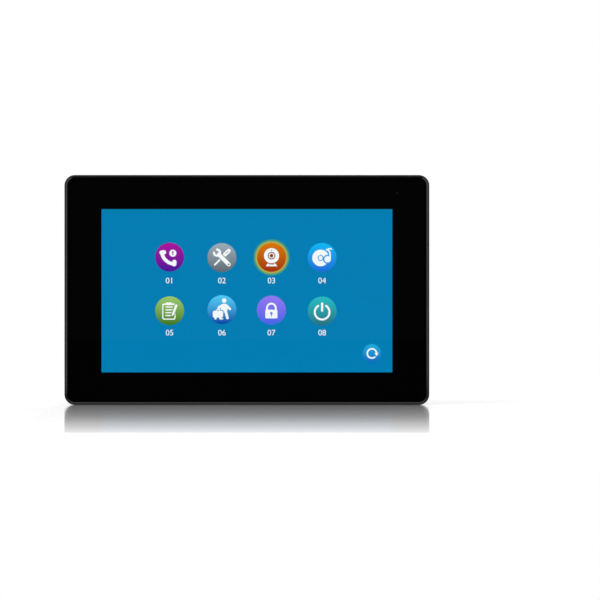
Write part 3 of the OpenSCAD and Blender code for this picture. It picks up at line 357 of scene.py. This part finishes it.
def finishes():
    """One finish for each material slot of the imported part."""
    return {
        "zinc_steel": plated_sheet("zinc_steel", (0.56, 0.57, 0.58), spangle=5.0),
        "housing_plastic": finish(
            "housing_plastic", (0.016, 0.016, 0.017), 0.5, grain=0.35, relief=0.035, patch=30.0,
            edge=0.25,
        ),
        "frame_plastic": finish(
            "frame_plastic", (0.03, 0.03, 0.031), 0.3, grain=0.4, relief=0.001, tone=0.1, patch=25.0,
            edge=0.08, rough_spread=0.04, wear=1.3, specular=0.3,
        ),
        "black_screws": finish(
            "black_screws", (0.05, 0.05, 0.055), 0.35, metallic=0.9, grain=0.3, relief=0.006, wear=4.0
        ),
        "cover_glass": clear("cover_glass", (0.985, 0.995, 0.995), smear_size=18.0, smear=0.012),
        "black_tape": finish(
            "black_tape", (0.002, 0.002, 0.002), 0.8, grain=0.25, relief=0.02, specular=0.05
        ),
        "sensor_glass": bonded("sensor_glass", (0.03, 0.032, 0.034)),
        "flex_film": finish(
            "flex_film", (0.42, 0.15, 0.025), 0.28, grain=0.8, relief=0.003, stretch=(3, 0.2, 0.2)
        ),
        "grey_foam": finish("grey_foam", (0.03, 0.03, 0.03), 0.9, grain=0.3, relief=0.08, specular=0.1),
        "sheet_steel": plated_sheet("sheet_steel", (0.5, 0.51, 0.53), spangle=2.5),
        "lcd_glass": finish(
            "lcd_glass", (0.004, 0.005, 0.007), 0.12, grain=0.3, relief=0.001, patch=40.0,
            rough_spread=0.03,
        ),
        "white_film": finish(
            "white_film", (0.82, 0.83, 0.84), 0.45, grain=0.2, relief=0.003, tone=0.03, wear=1.0
        ),
        "clear_acrylic": finish(
            "clear_acrylic", (0.72, 0.78, 0.79), 0.12, grain=0.7, relief=0.004, tone=0.04, wear=1.0
        ),
        "led_white": finish(
            "led_white", (0.82, 0.76, 0.52), 0.4, grain=0.8, relief=0.004, tone=0.08, wear=1.0
        ),
        "bright_screws": finish(
            "bright_screws", (0.52, 0.53, 0.55), 0.28, metallic=1.0, grain=0.25, relief=0.005, wear=1.2
        ),
        "board_green": circuit_board("board_green", (0.012, 0.085, 0.036)),
        "chip_black": finish(
            "chip_black", (0.014, 0.014, 0.015), 0.55, grain=0.15, relief=0.008, patch=5.0
        ),
        "ferrite": finish(
            "ferrite", (0.035, 0.035, 0.038), 0.6, grain=0.2, relief=0.02, patch=3.0, wear=3.0
        ),
        "can_aluminium": finish(
            "can_aluminium", (0.72, 0.73, 0.74), 0.25, metallic=1.0, grain=0.3, relief=0.004, wear=1.1,
            stretch=(1, 0.1, 1),
        ),
        "ivory_plastic": finish(
            "ivory_plastic", (0.68, 0.62, 0.48), 0.42, grain=0.4, relief=0.008, tone=0.06, patch=6.0,
            wear=1.15,
        ),
        "pin_brass": finish(
            "pin_brass", (0.72, 0.54, 0.2), 0.25, metallic=1.0, grain=0.2, relief=0.003, edge=0.06,
            wear=1.2,
        ),
        "knob_plastic": finish(
            "knob_plastic", (0.02, 0.02, 0.021), 0.42, grain=0.25, relief=0.012, patch=2.0
        ),
        "black_rubber": finish(
            "black_rubber", (0.01, 0.01, 0.01), 0.75, grain=0.2, relief=0.015, specular=0.2
        ),
        "wire_pvc": finish("wire_pvc", (0.02, 0.02, 0.02), 0.5, grain=0.6, relief=0.01, patch=4.0),
        "dark_steel": finish(
            "dark_steel", (0.08, 0.08, 0.085), 0.4, metallic=0.8, grain=0.3, relief=0.005
        ),
        "cone_paper": finish(
            "cone_paper", (0.02, 0.02, 0.02), 0.8, grain=0.5, relief=0.04, patch=4.0, specular=0.2,
            stretch=(1, 1, 2),
        ),
        "magnet_steel": finish(
            "magnet_steel", (0.58, 0.58, 0.59), 0.22, metallic=1.0, grain=0.5, relief=0.003, wear=1.15
        ),
    }


def dress_nodes():
    """Gives each CAD node the finish of its material slot, and the microphone a black felt."""
    by_slot = finishes()
    felt = finish(
        "mic_felt", (0.035, 0.042, 0.044), 0.95, grain=0.12, relief=0.03, patch=2.0, specular=0.1
    )
    for row in frame["record"]["subparts"]:
        look = felt if row["node"] == "microphone" else by_slot[row["material_slot"]]
        for slot in nodes[row["node"]].material_slots:
            slot.material = look


# Flat outlines as lists of points across and up, in millimetres

# Steps round the ends of strokes, and degrees for each step along a curved one
BAR_END_STEPS = 10
BOW_END_STEPS = 8
BOW_STEP_DEGREES = 8


def turn(centre, r, degrees):
    """The point on a circle at an angle."""
    a = math.radians(degrees)
    return centre[0] + r * math.cos(a), centre[1] + r * math.sin(a)


def sweep(centre, r, start, end, steps):
    """Points on an arc, both ends included."""
    return [turn(centre, r, start + (end - start) * i / steps) for i in range(steps + 1)]


def disc(centre, r, steps=48):
    """A circle."""
    return sweep(centre, r, 0, 360 - 360 / steps, steps - 1)


def rounded(centre, w, h, r, steps=6):
    """A rectangle with round corners."""
    x, z = centre
    corners = ((1, 1, 0), (-1, 1, 90), (-1, -1, 180), (1, -1, 270))
    return [
        p
        for sx, sz, a in corners
        for p in sweep((x + sx * (w / 2 - r), z + sz * (h / 2 - r)), r, a, a + 90, steps)
    ]


def bar(a, b, w):
    """A straight stroke with round ends."""
    lean = math.degrees(math.atan2(b[1] - a[1], b[0] - a[0]))
    far_end = sweep(b, w / 2, lean - 90, lean + 90, BAR_END_STEPS)
    near_end = sweep(a, w / 2, lean + 90, lean + 270, BAR_END_STEPS)
    return far_end + near_end


def bow(centre, r, w, start, end):
    """A curved stroke with round ends along an arc, which runs anticlockwise from start to end."""
    steps = max(BOW_END_STEPS, int((end - start) / BOW_STEP_DEGREES))
    return (
        sweep(centre, r + w / 2, start, end, steps)
        + sweep(turn(centre, r, end), w / 2, end, end + 180, BOW_END_STEPS)[1:-1]
        + sweep(centre, r - w / 2, end, start, steps)
        + sweep(turn(centre, r, start), w / 2, start + 180, start + 360, BOW_END_STEPS)[1:-1]
    )


# Pieces

def new_piece(name, mesh, body, materials):
    """A piece that rides on a body, with its own finishes."""
    piece = bpy.data.objects.new(name, mesh)
    bpy.context.scene.collection.objects.link(piece)
    for material in materials:
        mesh.materials.append(material)
    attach(piece, body)


def band(bm, ring_a, ring_b, material):
    """Faces between two rings of as many points."""
    for i, vert in enumerate(ring_a):
        j = (i + 1) % len(ring_a)
        bm.faces.new((vert, ring_b[i], ring_b[j], ring_a[j])).material_index = material


def prism(bm, outline, centre, y_back, y_front, material=0):
    """A flat closed solid from an outline that runs anticlockwise as the viewer sees it."""
    front, back = [
        [bm.verts.new((centre[0] + x * MM, y, centre[1] + z * MM)) for x, z in outline]
        for y in (y_front, y_back)
    ]
    for face in (front, back[::-1]):
        bm.faces.new(face).material_index = material
    band(bm, front, back, material)


def mesh_of(bm, name):
    """A mesh with all its faces turned outwards."""
    mesh = bpy.data.meshes.new(name)
    bmesh.ops.recalc_face_normals(bm, faces=bm.faces)
    bm.to_mesh(mesh)
    bm.free()
    return mesh


# The black border that is printed on the back of the glass, and the black coat on its ground edge

PRINT_DEPTH = 0.01 * MM
PRINT_T = 0.02 * MM
PRINT_INSET = 0.04
GLASS_R = 4.6
MIC_HOLE_R = 0.62
# Corners of the coat's section, in millimetres inwards from the edge of the glass and back from its front
EDGE_COAT = ((0.0, 0.583), (0.583, 0.0), (0.6, 0.02), (0.02, 0.6))
EDGE_STEPS = 24


def picture_window():
    """The outline of the lit picture."""
    low, high = picture_low / MM, picture_high / MM
    return [(low.x, low.z), (high.x, low.z), (high.x, high.z), (low.x, high.z)]


def glass_outline(size, inset, steps=6):
    """The outline of the cover glass, drawn in by an inset."""
    w, h = size
    return rounded((0, 0), w - 2 * inset, h - 2 * inset, GLASS_R - inset, steps)


def print_sheet(bm, size, mic, y_front):
    """A thin sheet with a window for the picture and a hole for the microphone."""
    for outline in (glass_outline(size, PRINT_INSET), picture_window(), disc(mic, MIC_HOLE_R, steps=24)):
        loop = [bm.verts.new((x * MM, y_front, z * MM)) for x, z in outline]
        for i, vert in enumerate(loop):
            bm.edges.new((vert, loop[(i + 1) % len(loop)]))
    bmesh.ops.triangle_fill(bm, edges=bm.edges, use_beauty=True, use_dissolve=False, normal=(0, -1, 0))
    grown = bmesh.ops.extrude_face_region(bm, geom=list(bm.faces), use_keep_orig=True)
    moved = [v for v in grown["geom"] if isinstance(v, bmesh.types.BMVert)]
    bmesh.ops.translate(bm, verts=moved, vec=(0, PRINT_T, 0))


def edge_coat(bm, size, y_front, material):
    """A thin closed ring over the ground edge of the glass."""
    rings = []
    for inwards, back in EDGE_COAT:
        outline = glass_outline(size, inwards, EDGE_STEPS)
        rings.append([bm.verts.new((x * MM, y_front + back * MM, z * MM)) for x, z in outline])
    for ring, following in zip(rings, rings[1:] + rings[:1]):
        band(bm, ring, following, material)


def border_print():
    """The printed sheet and the coat, as one piece with two finishes."""
    glass_low, glass_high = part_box("cover_glass")
    mic_low, mic_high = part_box("microphone")
    size = ((glass_high.x - glass_low.x) / MM, (glass_high.z - glass_low.z) / MM)
    mic = ((mic_low.x + mic_high.x) / 2 / MM, (mic_low.z + mic_high.z) / 2 / MM)
    bm = bmesh.new()
    print_sheet(bm, size, mic, glass_high.y - PRINT_DEPTH - PRINT_T)
    edge_coat(bm, size, glass_low.y, material=1)
    ink = finish(
        "black_print", (0.0014, 0.0014, 0.0015), 0.5, grain=0.2, relief=0.001, tone=0.1, patch=20.0,
        wear=1.0, specular=0.0,
    )
    coat = finish(
        "edge_coat", (0.004, 0.004, 0.0042), 0.12, grain=0.3, relief=0.0005, tone=0.1, patch=20.0,
        edge=0.03, wear=1.0, rough_spread=0.03, specular=0.55,
    )
    new_piece("border_print", mesh_of(bm, "border_print"), "monitor", [ink, coat])


# What is printed and etched on the board where the wiring bay shows it

# Millimetres from a socket's end pin to its end, and the step between pins that starts another socket
SOCKET_END = 2.45
SOCKET_STEP = 4.0
# White outlines round the sockets, and the dot beside a first pin
SILK_GAP = 0.32
SILK_W = 0.16
FIRST_PIN_MARK = (-1.15, -1.35)
FIRST_PIN_R = 0.3
# Tracks, with the height where a socket's first one ends and how much lower each next one does
TRACK_W = 0.55
TRACK_LOW = -4.6
TRACK_STEP = 1.7
VIA_R = 0.55
VIA_HOLE_R = 0.24
# The print's distance from the board, and the thickness of its first ink, to which each next adds half
ETCH_LIFT = 0.002 * MM
ETCH_T = 0.03 * MM


def pin_rows():
    """The places of the pins across, one list for each socket."""
    sides = sorted({round(v.co.x / MM, 2) for v in nodes["socket_pins"].data.vertices})
    centres = [(a + b) / 2 for a, b in zip(sides[::2], sides[1::2])]
    rows = [[centres[0]]]
    for before, x in zip(centres, centres[1:]):
        if x - before > SOCKET_STEP:
            rows.append([])
        rows[-1].append(x)
    return rows


def board_print():
    """White outlines round the sockets, and a track under the mask from each pin to a tinned via, whose
    hole is a flat disc in painted shade.
    """
    low, high = (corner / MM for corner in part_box("wire_sockets"))
    z_low, z_high = low.z - SILK_GAP, high.z + SILK_GAP
    layers = []
    for row in pin_rows():
        left, right = row[0] - SOCKET_END - SILK_GAP, row[-1] + SOCKET_END + SILK_GAP
        for a, b in (
            ((left, z_low), (right, z_low)), ((left, z_high), (right, z_high)),
            ((left, z_low), (left, z_high)), ((right, z_low), (right, z_high)),
        ):
            layers.append((0, bar(a, b, SILK_W)))
        mark = (row[0] + FIRST_PIN_MARK[0], low.z + FIRST_PIN_MARK[1])
        layers.append((0, disc(mark, FIRST_PIN_R, steps=20)))
        for i, x in enumerate(row):
            end = (x, TRACK_LOW - TRACK_STEP * i)
            layers.append((1, bar((x, z_low - SILK_W), end, TRACK_W)))
            layers.append((2, disc(end, VIA_R, steps=24)))
            # The via's hole: a flat disc whose dark is painted shade
            layers.append((3, disc(end, VIA_HOLE_R, steps=16)))
    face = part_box("main_board")[1].y + ETCH_LIFT
    bm = bmesh.new()
    for ink, outline in layers:
        prism(bm, outline, (0, 0), face + ETCH_T * (1 + ink / 2), face, ink)
    inks = [
        finish(
            "board_white", (0.72, 0.72, 0.7), 0.6, grain=0.2, relief=0.004, tone=0.06, patch=3.0, wear=1.0
        ),
        finish("mask_on_copper", (0.03, 0.17, 0.07), 0.28, grain=0.8, relief=0.003, tone=0.1, wear=1.2),
        finish("tinned_pad", (0.62, 0.62, 0.6), 0.35, metallic=0.9, grain=0.2, relief=0.006, wear=1.1),
        # Painted shade for the inside of each via's hole
        finish("via_hole_painted_shade", (0.01, 0.012, 0.01), 0.7, grain=0.2, relief=0.004, specular=0.2),
    ]
    new_piece("board_print", mesh_of(bm, "board_print"), "monitor", inks)


# The lit picture: a menu of round keys with plain pictograms and numbers

BLUE = (0.0003, 0.209, 0.46)
BACKGROUND = ((0.0, BLUE), (0.97, BLUE), (1.0, (0.0003, 0.211, 0.41)))
WHITE = ((0.0, (0.9, 0.95, 0.97)), (1.0, (0.95, 0.97, 0.97)))
KEY_R = 7.65


def picture_ground():
    """The plain blue behind the keys."""
    bm = bmesh.new()
    y_back = cell_low.y - PICTURE_LIFT
    prism(bm, picture_window(), (0, 0), y_back, y_back - LAYER)
    blue = lit("picture_blue", BACKGROUND, upright(picture_low.z, picture_high.z))
    new_piece("picture_ground", mesh_of(bm, "picture_ground"), "monitor", [blue])


# Pictograms: each layer is an ink and an outline round the key's middle, from the back to the front.
# Ink 0 is the key, 1 is white and 2 is the dark shade of the chosen key.

def handset():
    """A handset with a round badge."""
    hub = (2.8, 3.4)
    ears = [bar(turn(hub, 5.9, a), turn(hub, 7.1, a), 2.3) for a in (188, 267)]
    return [(1, bow(hub, 7.0, 1.8, 188, 267))] + [(1, ear) for ear in ears] + [
        (1, disc((1.7, 2.1), 1.85)),
        (0, bar((1.75, 3.0), (1.75, 1.2), 0.55)),
        (0, bar((1.75, 3.0), (1.25, 2.55), 0.45)),
    ]


def tools():
    """A spanner over a screwdriver."""
    return [
        (1, bar((-3.8, -3.8), (1.0, 1.0), 0.9)),
        (1, bar((1.6, 1.6), (3.6, 3.6), 2.1)),
        (0, bar((2.1, 2.1), (3.3, 3.3), 0.35)),
        (0, bar((-3.0, 3.0), (4.0, -4.0), 2.9)),
        (1, bar((-1.6, 1.6), (3.6, -3.6), 2.1)),
        (1, bow((-2.6, 2.6), 1.6, 1.2, 180, 450)),
        (0, disc((3.6, -3.6), 0.5, steps=20)),
    ]


def camera():
    """A round camera on its foot."""
    return [
        (1, disc((0, 0.9), 4.0)),
        (2, disc((0, 0.9), 2.0)),
        (1, disc((0, 0.9), 1.5)),
        (2, disc((0, 0.9), 0.95)),
        (2, disc((0, 3.7), 0.28, steps=16)),
        (1, [(-3.1, -4.7), (3.1, -4.7), (2.1, -3.3), (-2.1, -3.3)]),
        (2, bar((-1.0, -3.5), (1.0, -3.5), 0.5)),
    ]


def media():
    """A disc with a note."""
    return [
        (1, disc((-0.8, -0.3), 4.4)),
        (0, disc((-0.8, -0.3), 1.6)),
        (1, disc((-0.8, -0.3), 1.1)),
        (0, disc((2.9, -1.0), 2.4)),
        (0, bar((4.2, -1.0), (4.2, 1.8), 2.0)),
        (0, bow((1.8, 1.8), 2.4, 2.0, 0, 75)),
        (1, disc((2.9, -1.0), 1.7)),
        (1, bar((4.2, -1.0), (4.2, 1.8), 0.8)),
        (1, bow((1.8, 1.8), 2.4, 0.8, 0, 75)),
        (1, bow((4.0, 2.6), 2.0, 0.6, 60, 140)),
    ]


def checklist():
    """A list with a pen."""
    lines = [(1, bar((-2.0, z), (1.4, z), 0.62)) for z in (2.0, 0.5, -1.0, -2.5)]
    return [
        (1, rounded((-0.4, -0.4), 7.0, 8.6, 1.0)),
        (0, rounded((-0.4, -0.5), 5.8, 7.2, 0.6)),
        (1, rounded((-0.4, 3.7), 3.4, 1.5, 0.6)),
    ] + lines + [
        (0, bar((3.5, 2.8), (1.6, -2.2), 2.1)),
        (1, bar((3.5, 2.8), (1.9, -1.5), 1.2)),
        (1, [(1.2, -1.6), (1.1, -2.9), (2.2, -2.0)]),
    ]


def traveller():
    """A figure with a suitcase."""
    return [
        (1, disc((1.2, 4.8), 1.2, steps=32)),
        (1, rounded((1.2, 1.1), 3.6, 4.0, 1.2)),
        (1, bar((0.6, -0.6), (0.0, -4.6), 1.4)),
        (1, bar((1.9, -0.6), (2.9, -4.4), 1.4)),
        (1, bar((2.4, 2.2), (4.3, 0.3), 1.2)),
        (1, bar((0.0, 2.3), (-1.7, 1.2), 1.1)),
        (1, bar((-1.7, 1.2), (-1.5, 0.2), 1.0)),
        (0, rounded((-2.1, -2.4), 6.2, 4.4, 0.9)),
        (1, rounded((-2.1, -2.4), 5.4, 3.6, 0.8)),
        (1, bow((-2.1, -0.7), 0.9, 0.5, 0, 180)),
        (1, disc((-3.4, -4.6), 0.6, steps=20)),
        (1, disc((-0.8, -4.6), 0.6, steps=20)),
    ]


def padlock():
    """A closed padlock."""
    return [
        (1, bow((0, 1.2), 2.3, 0.95, 0, 180)),
        (1, bar((-2.3, 1.2), (-2.3, -0.5), 0.95)),
        (1, bar((2.3, 1.2), (2.3, -0.5), 0.95)),
        (1, rounded((0, -2.0), 6.4, 4.6, 0.5)),
        (0, disc((0, -1.6), 0.7, steps=24)),
        (0, bar((0, -1.8), (0, -3.1), 0.5)),
    ]


def standby():
    """An open ring with a bar."""
    return [(1, bow((0, -0.6), 3.9, 1.05, 122, 418)), (1, bar((0, 0.2), (0, 4.0), 1.15))]


def refresh():
    """An open ring with an arrowhead."""
    return [(1, bow((0, 0), 2.45, 0.8, 0, 308)), (1, [(2.45, -1.5), (3.6, 0.25), (1.3, 0.25)])]


# Keys: name, centre across and up, radius, colours at the bottom and the top, pictogram and number below
KEYS = (
    ("key_call", (-40.8, 17.3), KEY_R, (0.045, 0.01, 0.33), (0.42, 0.007, 0.33), handset, "01"),
    ("key_tools", (-13.2, 17.1), KEY_R, (0.11, 0.14, 0.16), (0.34, 0.42, 0.49), tools, "02"),
    ("key_camera", (13.0, 17.2), KEY_R, (0.36, 0.025, 0.004), (0.7, 0.19, 0.003), camera, "03"),
    ("key_media", (39.7, 17.2), KEY_R, (0.012, 0.15, 0.7), (0.004, 0.48, 0.94), media, "04"),
    ("key_list", (-40.8, -11.0), KEY_R, (0.035, 0.175, 0.014), (0.33, 0.59, 0.14), checklist, "05"),
    ("key_away", (-13.2, -10.4), KEY_R, (0.0004, 0.04, 0.37), (0.085, 0.6, 0.94), traveller, "06"),
    ("key_lock", (12.9, -10.7), KEY_R, (0.055, 0.13, 0.8), (0.3, 0.19, 0.9), padlock, "07"),
    ("key_standby", (39.7, -11.1), KEY_R, (0.025, 0.16, 0.22), (0.02, 0.51, 0.55), standby, "08"),
    ("key_refresh", (66.0, -33.5), 4.9, (0.006, 0.14, 0.55), (0.015, 0.42, 0.7), refresh, None),
)
CHOSEN_KEY = "key_camera"
CHOSEN_INK = ((0.0, (0.2, 0.02, 0.003)), (1.0, (0.28, 0.035, 0.005)))
RING_R = 9.9
RING = (
    (0.0, (0.62, 0.36, 0.04)), (0.2, (0.42, 0.42, 0.1)), (0.45, (0.16, 0.38, 0.15)),
    (0.75, (0.03, 0.29, 0.27)), (1.0, (0.0003, 0.209, 0.44)),
)
# Heights of the two rows of numbers, and the size of their digits
UPPER_NUMBERS = 4.8
LOWER_NUMBERS = -22.7
NUMBER_H = 4.3


def menu_key(name, at, r, low_color, high_color, pictogram):
    """A round key: its disc, the layers of its pictogram and, on the chosen key, a ring of light."""
    centre = (at[0] * MM, at[1] * MM)
    rise = upright(centre[1] - r * MM, centre[1] + r * MM)
    layers = [(0, disc((0, 0), r))] + pictogram()
    inks = [
        lit(name + "_face", ((0.0, low_color), (1.0, high_color)), rise),
        lit(name + "_white", WHITE, rise),
    ]
    if name == CHOSEN_KEY:
        layers.insert(0, (3, disc((0, 0), RING_R)))
        inks.append(lit(name + "_dark", CHOSEN_INK, rise))
        inks.append(lit(name + "_ring", RING, outward(centre, r * MM, RING_R * MM)))
    bm = bmesh.new()
    base = cell_low.y - PICTURE_LIFT - LAYER
    for level, (ink, outline) in enumerate(layers):
        prism(bm, outline, centre, base - LAYER / 2, base - (level + 1) * LAYER, ink)
    new_piece(name, mesh_of(bm, name), "monitor", inks)


def number(name, text, at):
    """A plain number below a key."""
    curve = bpy.data.curves.new(name, "FONT")
    curve.body = text
    curve.size = NUMBER_H * MM
    curve.align_x = "CENTER"
    curve.align_y = "CENTER"
    curve.extrude = LAYER / 2
    draft = bpy.data.objects.new(name + "_draft", curve)
    bpy.context.scene.collection.objects.link(draft)
    draft.rotation_euler = (math.radians(90), 0, 0)
    draft.location = (at[0] * MM, cell_low.y - PICTURE_LIFT - 2 * LAYER, at[1] * MM)
    bpy.context.view_layer.update()
    mesh = bpy.data.meshes.new_from_object(draft.evaluated_get(bpy.context.evaluated_depsgraph_get()))
    mesh.transform(draft.matrix_world)
    mesh.name = name
    bpy.data.objects.remove(draft)
    white = lit(name + "_white", WHITE, upright(picture_low.z, picture_high.z))
    new_piece(name, mesh, "monitor", [white])


def picture():
    """The ground, the keys and the numbers below them."""
    picture_ground()
    for name, at, r, low_color, high_color, pictogram, text in KEYS:
        menu_key(name, at, r, low_color, high_color, pictogram)
        if text:
            row = UPPER_NUMBERS if at[1] > 0 else LOWER_NUMBERS
            number(name.replace("key", "number"), text, (at[0], row))


# Studio

FLOOR_DROP = 0.02 * MM
FLOOR_HALF = 2.5
# Greys of the floor in soft light and where it takes the shadow, and the glow that is added there
FLOOR_COLOR = 0.9
FLOOR_SHADED = 0.4
FLOOR_GLOW = 0.62
# Distances from the middle, in metres, between which the shadow gives way to plain white
SHADOW_REACH = (0.25, 0.6)
# The mirror's reach in front of the rim, as a share of the camera's distance, and its strength along it
MIRROR_REACH = 0.2107
MIRROR = (
    (0.0, 1.0), (0.02, 0.9), (0.24, 0.815), (0.4, 0.755), (0.54, 0.68), (0.81, 0.433), (0.985, 0.22),
    (1.0, 0.0),
)
# How far the mirror fades beside the body and at the rim
MIRROR_SIDE = 3 * MM
MIRROR_START = 0.05 * MM
# The mirror shows best in a front look at this angle to the floor, and fades between these facings
MIRROR_LOOK = math.radians(5)
MIRROR_FACING = (0.88, 0.93)
MIRROR_BLUR = 0.07
MIRROR_SMEAR = 0.6
# Where the floor is darkened in reflections, in millimetres back from the front of the glass: dark cards
# in front of it, and painted shade under the body that stands in for its contact shadow
FLOOR_CARDS_AND_SHADE = ((-12.0, 1.0), (-0.5, 0.0), (0.4, 0.0), (0.8, 1.0), (17.0, 1.0), (19.0, 0.0))
FLOOR_CARDS_AND_SHADE_GREY = 0.01


def camera_view():
    """A long lens straight in front of the glass, with the body where it is in the photograph.
    The distance is taken from where the rim is widest, just behind the front of the glass."""
    data = bpy.data.cameras.new("camera")
    px = (cad_high.x - cad_low.x) / BODY_W_PX
    data.sensor_width = SENSOR_W
    data.lens = SENSOR_W * CAMERA_DISTANCE / (IMAGE_PX * px)
    eye = bpy.data.objects.new("camera", data)
    across = (IMAGE_PX / 2 - BODY_CENTRE_PX[0]) * px
    up = (BODY_CENTRE_PX[1] - IMAGE_PX / 2) * px
    eye.location = (
        (cad_low.x + cad_high.x) / 2 + across,
        cad_low.y + RIM_BACK - CAMERA_DISTANCE,
        (cad_low.z + cad_high.z) / 2 + up,
    )
    eye.rotation_euler = (math.radians(90), 0, 0)
    bpy.context.scene.collection.objects.link(eye)
    bpy.context.scene.camera = eye


def pale_floor(tree, spot):
    """The floor as it looks: a glow that takes the object's shadow, and plain white further off."""
    shaded = add(tree, "BsdfDiffuse", Color=grey(FLOOR_SHADED))
    glow = add(tree, "Emission", Color=grey(1.0), Strength=FLOOR_GLOW)
    near = add(tree, "AddShader", [(0, shaded.outputs[0]), (1, glow.outputs[0])])
    white = add(tree, "Emission", Color=grey(1.0), Strength=1.0)
    away = add(tree, "VectorMath", [(0, spot)], operation="LENGTH").outputs["Value"]
    return mixed_shader(tree, ranged(tree, away, 0.0, 1.0, *SHADOW_REACH), near, white)


def floor_mirror(tree):
    """A mirror that smears more one way than the other."""
    tangent = add(tree, "Tangent", direction_type="UV_MAP").outputs["Tangent"]
    return add(
        tree, "BsdfAnisotropic", [("Tangent", tangent)], Color=grey(1.0), Roughness=MIRROR_BLUR,
        Anisotropy=MIRROR_SMEAR,
    )


def mirror_share(tree, across, ahead):
    """How much the floor mirrors: most close to the rim, and not beside the body or in a steep look."""
    rim = cad_low.y + RIM_BACK
    along = ranged(tree, ahead, 0.0, 1.0, rim, rim - MIRROR_REACH * CAMERA_DISTANCE)
    before = ranged(tree, ahead, 1.0, 0.0, rim - MIRROR_START, rim)
    aside = add(tree, "Math", [(0, across)], operation="ABSOLUTE").outputs["Value"]
    under = ranged(tree, aside, 1.0, 0.0, cad_high.x, cad_high.x + MIRROR_SIDE)
    lean = add(tree, "CombineXYZ", X=0.0, Y=math.sin(MIRROR_LOOK), Z=math.cos(MIRROR_LOOK))
    facing = add(tree, "LayerWeight", [("Normal", lean.outputs["Vector"])], Blend=0.5).outputs["Facing"]
    grazing = ranged(tree, facing, 0.0, 1.0, *MIRROR_FACING)
    return product(tree, grey_ramp(tree, along, MIRROR), grazing, under, before)


def floor_cards_and_shade(tree, ahead):
    """1 where dark cards in front of the glass and painted shade under the body darken the floor, and 0
    elsewhere.
    """
    first, last = FLOOR_CARDS_AND_SHADE[0][0], FLOOR_CARDS_AND_SHADE[-1][0]
    along = ranged(tree, ahead, 0.0, 1.0, cad_low.y + first * MM, cad_low.y + last * MM)
    stops = [((back - first) / (last - first), level) for back, level in FLOOR_CARDS_AND_SHADE]
    return grey_ramp(tree, along, stops)


def floor():
    """A pale floor that mirrors the body close in front of it. In reflections dark cards cover it
    in front of the glass, and painted shade under the body stands in for its contact shadow."""
    bpy.ops.mesh.primitive_plane_add(size=2 * FLOOR_HALF, location=(0, 0, cad_low.z - FLOOR_DROP))
    plane = bpy.context.object
    plane.name = "floor"
    material = bpy.data.materials.new("pale_floor")
    material.use_nodes = True
    tree = material.node_tree
    tree.nodes.clear()
    spot = add(tree, "NewGeometry").outputs["Position"]
    across, ahead, _ = add(tree, "SeparateXYZ", [("Vector", spot)]).outputs
    looks = add(tree, "LightPath").outputs
    pale = pale_floor(tree, spot)
    seen = mixed_shader(tree, mirror_share(tree, across, ahead), pale, floor_mirror(tree))
    plain = add(tree, "BsdfDiffuse", Color=grey(FLOOR_COLOR))
    reflected = mixed_shader(tree, sharp_rays(tree), plain, pale)
    # In reflections: dark cards in front of the glass, and painted shade under the body
    cards_and_shade_mask = product(tree, floor_cards_and_shade(tree, ahead), looks["Is Glossy Ray"])
    dark_cards_and_shade = add(tree, "BsdfDiffuse", Color=grey(FLOOR_CARDS_AND_SHADE_GREY))
    unseen = mixed_shader(tree, cards_and_shade_mask, reflected, dark_cards_and_shade)
    final = mixed_shader(tree, looks["Is Camera Ray"], unseen, seen)
    output = add(tree, "OutputMaterial", [("Surface", final.outputs[0])])
    output.is_active_output = True
    plane.data.materials.append(material)


# Dark cards that only reflections show: direction, and the angles at which each starts and ends to fade
CARDS = (((0, -1, 0), 38, 50), ((0, 0, 1), 20, 32))
CARD_GREY = 0.02
# The level of the soft light from all round
SOFT_LIGHT = 0.55


def world():
    """White for the camera, glass and metal, apart from dark cards behind the camera and overhead."""
    scene = bpy.context.scene
    scene.world = bpy.data.worlds.new("studio")
    scene.world.use_nodes = True
    tree = scene.world.node_tree
    tree.nodes.clear()
    way = add(tree, "TexCoord").outputs["Generated"]
    uncarded = []
    for direction, inside, outside in CARDS:
        toward = add(tree, "VectorMath", [(0, way)], operation="DOT_PRODUCT")
        toward.inputs[1].default_value = direction
        edge = [math.cos(math.radians(angle)) for angle in (outside, inside)]
        uncarded.append(ranged(tree, toward.outputs["Value"], 1.0, 0.0, *edge))
    soft = add(tree, "Background", Color=grey(1.0), Strength=SOFT_LIGHT)
    white = add(tree, "Background", Color=grey(1.0), Strength=1.0)
    dark = add(tree, "Background", Color=grey(CARD_GREY), Strength=1.0)
    around = mixed_shader(tree, product(tree, *uncarded), dark, white)
    bounced = mixed_shader(tree, sharp_rays(tree), soft, around)
    camera_rays = add(tree, "LightPath").outputs["Is Camera Ray"]
    final = mixed_shader(tree, camera_rays, bounced, white)
    add(tree, "OutputWorld", [("Surface", final.outputs[0])])


# Lamps: name, place and watts
LAMPS = (
    ("key_lamp", (-0.9, -0.7, 1.3), 12),
    ("fill_lamp", (1.2, -0.5, 0.6), 5),
    ("back_lamp", (0.4, 1.2, 0.9), 8),
)
LAMP_SIZE = 0.9


def lamps():
    """Soft square lamps that point at the middle of the body."""
    for name, at, watts in LAMPS:
        data = bpy.data.lights.new(name, "AREA")
        data.size = LAMP_SIZE
        data.energy = watts
        lamp = bpy.data.objects.new(name, data)
        lamp.location = at
        lamp.rotation_euler = (-Vector(at)).to_track_quat("-Z", "Y").to_euler()
        bpy.context.scene.collection.objects.link(lamp)


bpy.context.scene.view_settings.view_transform = "Standard"
camera_view()
dress_nodes()
border_print()
board_print()
picture()
floor()
world()
lamps()
